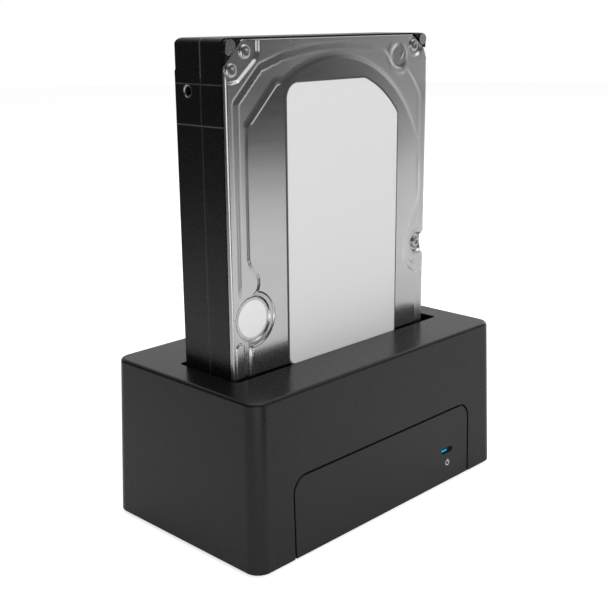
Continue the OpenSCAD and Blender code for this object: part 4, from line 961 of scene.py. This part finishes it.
h, e, low = dock["height"], dock["edge"], dock["low"]
rounding = [(h - e * (1 - sin(a)), e * (1 - cos(a))) for a in np.radians(range(0, 91, 15))]
outer = draftedSolid("housing", 0.0, [(low + rise, inset) for rise, inset in dock["foot"]] + rounding, 16)
slot, back = dock["slot"], (dock["back"], half("width", 0) + 3)
slotOutline = roundRect((slot["x"], slot["y"]), slot["length"] / 2, slot["width"] / 2, slot["corner"], 8)
slotDepth = (h - dock["roof"] - 1, h + 2)
shell = cut(outer, "housingCut", [
    draftedSolid("cavity", dock["wall"], [(-1.0, 0.0), (h - dock["roof"], 0.0)], 8),
    lofted("slotCut", [[(x * mm, y * mm, z * mm) for x, y in slotOutline] for z in slotDepth]),
    prism("pocket", inlayOutline(dock["groove"], -4.0), behindFront, -4.0, dock["inlayThick"] + 0.1),
    prism("opening", inlayOutline(-dock["ledge"], dock["ledgeLow"]), throughFront, *dock["front"]),
    prism("usbCut", usbOutline(usbShape["clear"]), throughFront, *back),
    *[openingAt(name, back, **where) for name, where in backOpenings.items()]])
smooth(shell)
addPiece("housingShell", softEdges(shell, "housingShell", 0.22, 2, 40), look["housing"],
    "dock", ("housing",), 0)

inlay = prism("inlay", inlayOutline(0.0, low + 0.1), behindFront, dock["inlayBack"], dock["inlayThick"])
inlay = cut(inlay, "inlayCut", [prism("windowCut", windowOutline(0.1), throughFront, *dock["front"])])
smooth(inlay)
addPiece("frontPanel", softEdges(inlay, "frontPanel", 0.28, 3, 40), look["inlay"], "dock",
    ("front_inlay",), 0)
softened("light_pipe", 0.12, look["pipe"], "dock")


# ---- printed marks: the symbol below the window, plain on and off marks on the rocker

def addMarks(name, outlines, place, near, far, body):
    part = name + "Part"
    mesh = gathered(name, [prism(part, outline, place, near, far) for outline in outlines])
    addPiece(name, mesh, look["print"], body)


def ringAndBar(ring, radius, stroke, gap, turn, bar, low, high):
    # an open ring and a bar, each of them with its own place
    half = stroke / 2
    inner, outer, first, last = radius - half, radius + half, turn + gap, turn + 360 - gap
    return [arc(ring, outer, first, last, 40) + arc(ring, inner, last, first, 40),
        [(bar[0] + a * half, bar[1] + b) for a, b in ((-1, low), (1, low), (1, high), (-1, high))]]


symbol = dict(ring=(35.9, 9.5), radius=1.0, stroke=0.42, gap=32.0, turn=90, bar=(35.9, 9.5), low=0.25,
    high=1.5)
rockerMark = dict(ring=(-2.7, 0.0), radius=1.1, stroke=0.4, gap=8, turn=0, bar=(2.7, 0.0), low=-1.3,
    high=1.3)
rockerShape = dict(pivot=(-34.0, 33.73, 24.4), tilt=8.0, valley=2.5, slope=0.14)
symbolProud, rockerProud = 0.012, 0.02


def onRocker(u, v, depth):
    # u runs across both slopes of the tilted rocker, which meet in a valley
    x, y, z = rockerShape["pivot"]
    turn = radians(rockerShape["tilt"])
    out = rockerShape["valley"] + rockerShape["slope"] * abs(u) - depth
    across, back = u * cos(turn) + out * sin(turn), out * cos(turn) - u * sin(turn)
    return tuple(mm * c for c in (x + across, y + back, z + v))


addMarks("powerSymbol", ringAndBar(**symbol), behindFront, dock["inlayBack"] - symbolProud, 0.05, "dock")
print("housing, inlay and window made")


# ---- dock: base, ports, inside

# node: (edge in mm, look, slot, body, segments)
softNodes = dict(
    base_cover=(0.2, "base", "base_black", "dock", 2),
    rubber_feet=(0.25, "rubber", "foot_rubber", "dock", 3),
    usb_port_shell=(0.1, "plated", "plated_steel", "dock", 2),
    usb_port_tongue=(0.15, "portBlue", "port_blue", "dock", 2),
    dc_jack=(0.25, "connector", "connector_black", "dock", 2),
    dc_jack_pin=(0.1, "plated", "plated_steel", "dock", 2),
    switch_housing=(0.25, "connector", "connector_black", "dock", 2),
    switch_rocker=(0.2, "rocker", "rocker_black", "switch_rocker", 3),
)
for node, (width, key, slotName, body, segments) in softNodes.items():
    softened(node, width, look[key], body, segments)
addMarks("rockerMarks", ringAndBar(**rockerMark), onRocker, -rockerProud, 0.05, "switch_rocker")
softened("sata_receptacle", 0.12, look["connector"], "dock")

# where the first bar stands beside the port's middle, how many, pitch, bar width, height above the floor
usbContacts = dict(usbContactsLow=(-1.5, 2, 3.0, 0.9, 20.72), usbContactsHigh=(-2.0, 5, 1.0, 0.5, 28.62))
for name, (start, count, pitch, width, z) in usbContacts.items():
    grown(name, blocks, [((usbShape["x"] + start) * mm, 31.5 * mm, z * mm)],
        {"count": count, "pitch": (pitch * mm, 0, 0), "size": (width * mm, 8 * mm, 0.12 * mm)},
        look["gold"], "dock")
print("dock's ports made")


# ---- drive: casting, plug and test pads, then the nodes that keep their own shape

softened("drive_base", 0.3, look["cast"], "drive", 2, "casting", 30.0)
softened("drive_sata_plug", 0.15, look["connector"], "drive")
padField = [(8, 20), (92, 20), (92, 70), (60, 75), (30, 75), (8, 94)]
grown("testPads", pads, [atDrive(u, v, 26.0) for u, v in padField],
    {"density": 30000.0, "spacing": 3.2 * mm, "radius": 0.45 * mm, "thickness": 0.05 * mm, "seed": 4,
        "Turn": towardBack}, look["gold"], "drive", (), [tuple(range(len(padField)))])

ownShape = dict(
    well=["drive_well"], mainBoard=["main_board"], ledBody=["status_led"], ferrite=["power_inductors"],
    chip=["bridge_chip", "voltage_regulator", "drive_board_chips", "head_sliders"],
    plated=["crystal", "head_suspensions"], capacitor=["capacitors"], gold=["sata_contacts"],
    gasket=["cover_gasket"], driveBoard=["drive_board"], mirror=["platters"], copper=["voice_coil"],
    alloy=["spindle_motor", "spindle_hub", "platter_spacer", "clamp_ring", "arm_stack", "pivot_post"],
    bareSteel=["magnet_yokes"], ramp=["head_ramp"], filter=["breather_filter"],
)
for key, names in ownShape.items():
    dress(look[key], *names)
print("drive and inner parts dressed")


# ---- floor, lights, camera

# a card is (strength, (turn from +X, cosine where it begins, where it is full), where it begins and ends)
studio = dict(
    radius=2.6, pool=(0.15, -0.08), near=0.3, far=1.1, bright=0.95, dull=0.1, seenTone=0.85, seenGlow=0.75,
    shadow=(0.95, (-93, 0.95, 0.98), (0.12, 0.24)), white=(10, 0.615, 0.65), pooled=0.15, whiteShare=0.8,
    cards=((0.26, (-5, 0.812, 0.85), (0.25, 0.5)), (1.5, (24, 0.927, 0.978), (0.22, 0.3)),
        (1.5, (-127, 0.92, 0.97), (0.28, 0.38))),
)
# what the steel mirrors above the floor; the hidden cards stand behind the overhead one
sky = dict(
    ambient=0.25, least=0.08, overhead=(1.0, (-56, 0.85, 0.94), (0.36, 0.58)), overheadStrength=0.8,
    open=((0.15, (10, 0.615, 0.7)), (1.1, None, (0.75, 0.93))),
    hidden=((0.35, (-5, 0.812, 0.85), None, (0.1, 0.3)), (0.5, (45, 0.2, 0.7), (0.05, 0.2)),
        (1.1, (-127, 0.92, 0.97), None, (0.1, 0.2)), (1.2, (10, 0.94, 0.98), (-0.05, 0.05), (0.45, 0.6))),
)


def level(x, y):
    return (x * x + y * y) ** 0.5


def cardLight(x, y, reach, strength, direction=None, begins=None, ends=None):
    # a card seen in a direction from the object, between two values of its reach
    light = strength
    if direction:
        turn, low, high = radians(direction[0]), *direction[1:]
        light = light * ease((x * cos(turn) + y * sin(turn)) / (level(x, y) + 0.001), low, high)
    if begins:
        light = light * ease(reach, *begins)
    return light * (1 - ease(reach, *ends)) if ends else light


def paleStage():
    # white with the object's shadow to the camera; to the object a bright pool in a darker studio
    s = studio
    made = bpy.data.materials.new("paleFloor")
    tree = emptyTree(made)
    camera, = source(tree, "LightPath", "Is Camera Ray")
    x, y, z = parts(*source(tree, "TexCoord", "Object"))
    away = level(x, y)
    pool = 1 - ease(level(x - s["pool"][0], y - s["pool"][1]), s["near"], s["far"])
    pool = pool * (1 - cardLight(x, y, away, *s["shadow"]))
    white = cardLight(x, y, away, 1.0, s["white"])
    lit = pool.math("MAXIMUM", pool * (1 - s["pooled"] * white), white * s["whiteShare"])
    tone = (s["dull"] + (s["bright"] - s["dull"]) * lit) * (1 - camera) + s["seenTone"] * camera
    cards = sum(cardLight(x, y, away, *card) for card in s["cards"])
    strength = s["seenGlow"] * camera + (1 - camera) * cards
    diffuse = camera.node("ShaderNodeBsdfDiffuse", {"Color": tint(tone, grey(0.0), grey(1.0))})
    glow = camera.node("ShaderNodeEmission", {"Color": grey(1.0), "Strength": strength})
    total = camera.node("ShaderNodeAddShader", {0: diffuse, 1: glow})
    toOutput(tree, total.output)
    return made


def addFloor():
    edge = [(studio["radius"] * cos(a), studio["radius"] * sin(a), 0.0)
        for a in np.radians(range(0, 360, 5))]
    mesh = meshOf("floor", edge, [list(range(len(edge)))])
    mesh.materials.append(paleStage())
    floor = linked("floor", mesh)


def setWorld():
    # the backdrop is white, mirrors see the cards, and diffuse surfaces an even grey
    scene.world = bpy.data.worlds.new("studio")
    tree = emptyTree(scene.world)
    rays = ["Is " + kind + " Ray" for kind in ("Camera", "Glossy", "Transmission")]
    seen, glossy, through = source(tree, "LightPath", *rays)
    x, y, z = parts(*source(tree, "TexCoord", "Generated"))
    overhead, open_, hidden = (sum(cardLight(x, y, z, *card) for card in cards)
        for cards in ([sky["overhead"]], sky["open"], sky["hidden"]))
    mirrored = sky["least"] + sky["overheadStrength"] * overhead + open_ + (1 - overhead) * hidden
    backdrop = seen.math("MAXIMUM", seen, through)
    light = backdrop + (1 - backdrop) * (glossy * mirrored + (1 - glossy) * sky["ambient"])
    surround = x.node("ShaderNodeBackground", {"Color": grey(1.0), "Strength": light})
    toOutput(tree, surround.output, "World")


lamps = dict(
    key=dict(at=(-0.45, -0.75, 0.85), size=(0.7, 0.7), power=3.0),
    front=dict(at=(0.1, -1.15, 0.32), size=(0.8, 0.5), power=5.4),
    fill=dict(at=(0.85, -0.35, 0.6), size=(0.9, 0.9), power=2.5),
    top=dict(at=(0.0, 0.25, 1.1), size=(0.9, 0.9), power=4.0),
)
lampTarget = Vector((0, 0, 0.08))


def addLamps():
    for name, lamp in lamps.items():
        data = bpy.data.lights.new(name, "AREA")
        data.shape = "RECTANGLE"
        data.size, data.size_y = lamp["size"]
        data.energy = lamp["power"]
        bulb = linked(name, data)
        bulb.visible_glossy = False          # what the steel mirrors is the studio itself
        bulb.location = lamp["at"]
        bulb.rotation_euler = (lampTarget - Vector(lamp["at"])).to_track_quat("-Z", "Y").to_euler()


shot = dict(place=(-275.16, -263.10, 179.66), yaw=45.776, pitch=15.447, roll=0.497, lens=61.72)


def addCamera():
    # place in mm; yaw from +Y towards +X, pitch downwards and roll, in degrees
    yaw, pitch, roll = (radians(shot[key]) for key in ("yaw", "pitch", "roll"))
    data = bpy.data.cameras.new("camera")
    data.sensor_width, data.lens = 36.0, shot["lens"]
    data.clip_start, data.clip_end = 0.01, 20.0
    scene.camera = linked("camera", data)
    aim = (Matrix.Rotation(-yaw, 4, "Z") @ Matrix.Rotation(pi / 2 - pitch, 4, "X")
        @ Matrix.Rotation(-roll, 4, "Z"))
    aim.translation = Vector(shot["place"]) * mm
    scene.camera.matrix_world = aim


addFloor()
setWorld()
addLamps()
addCamera()
scene.view_settings.view_transform = "Standard"
print("floor, lights and camera set")
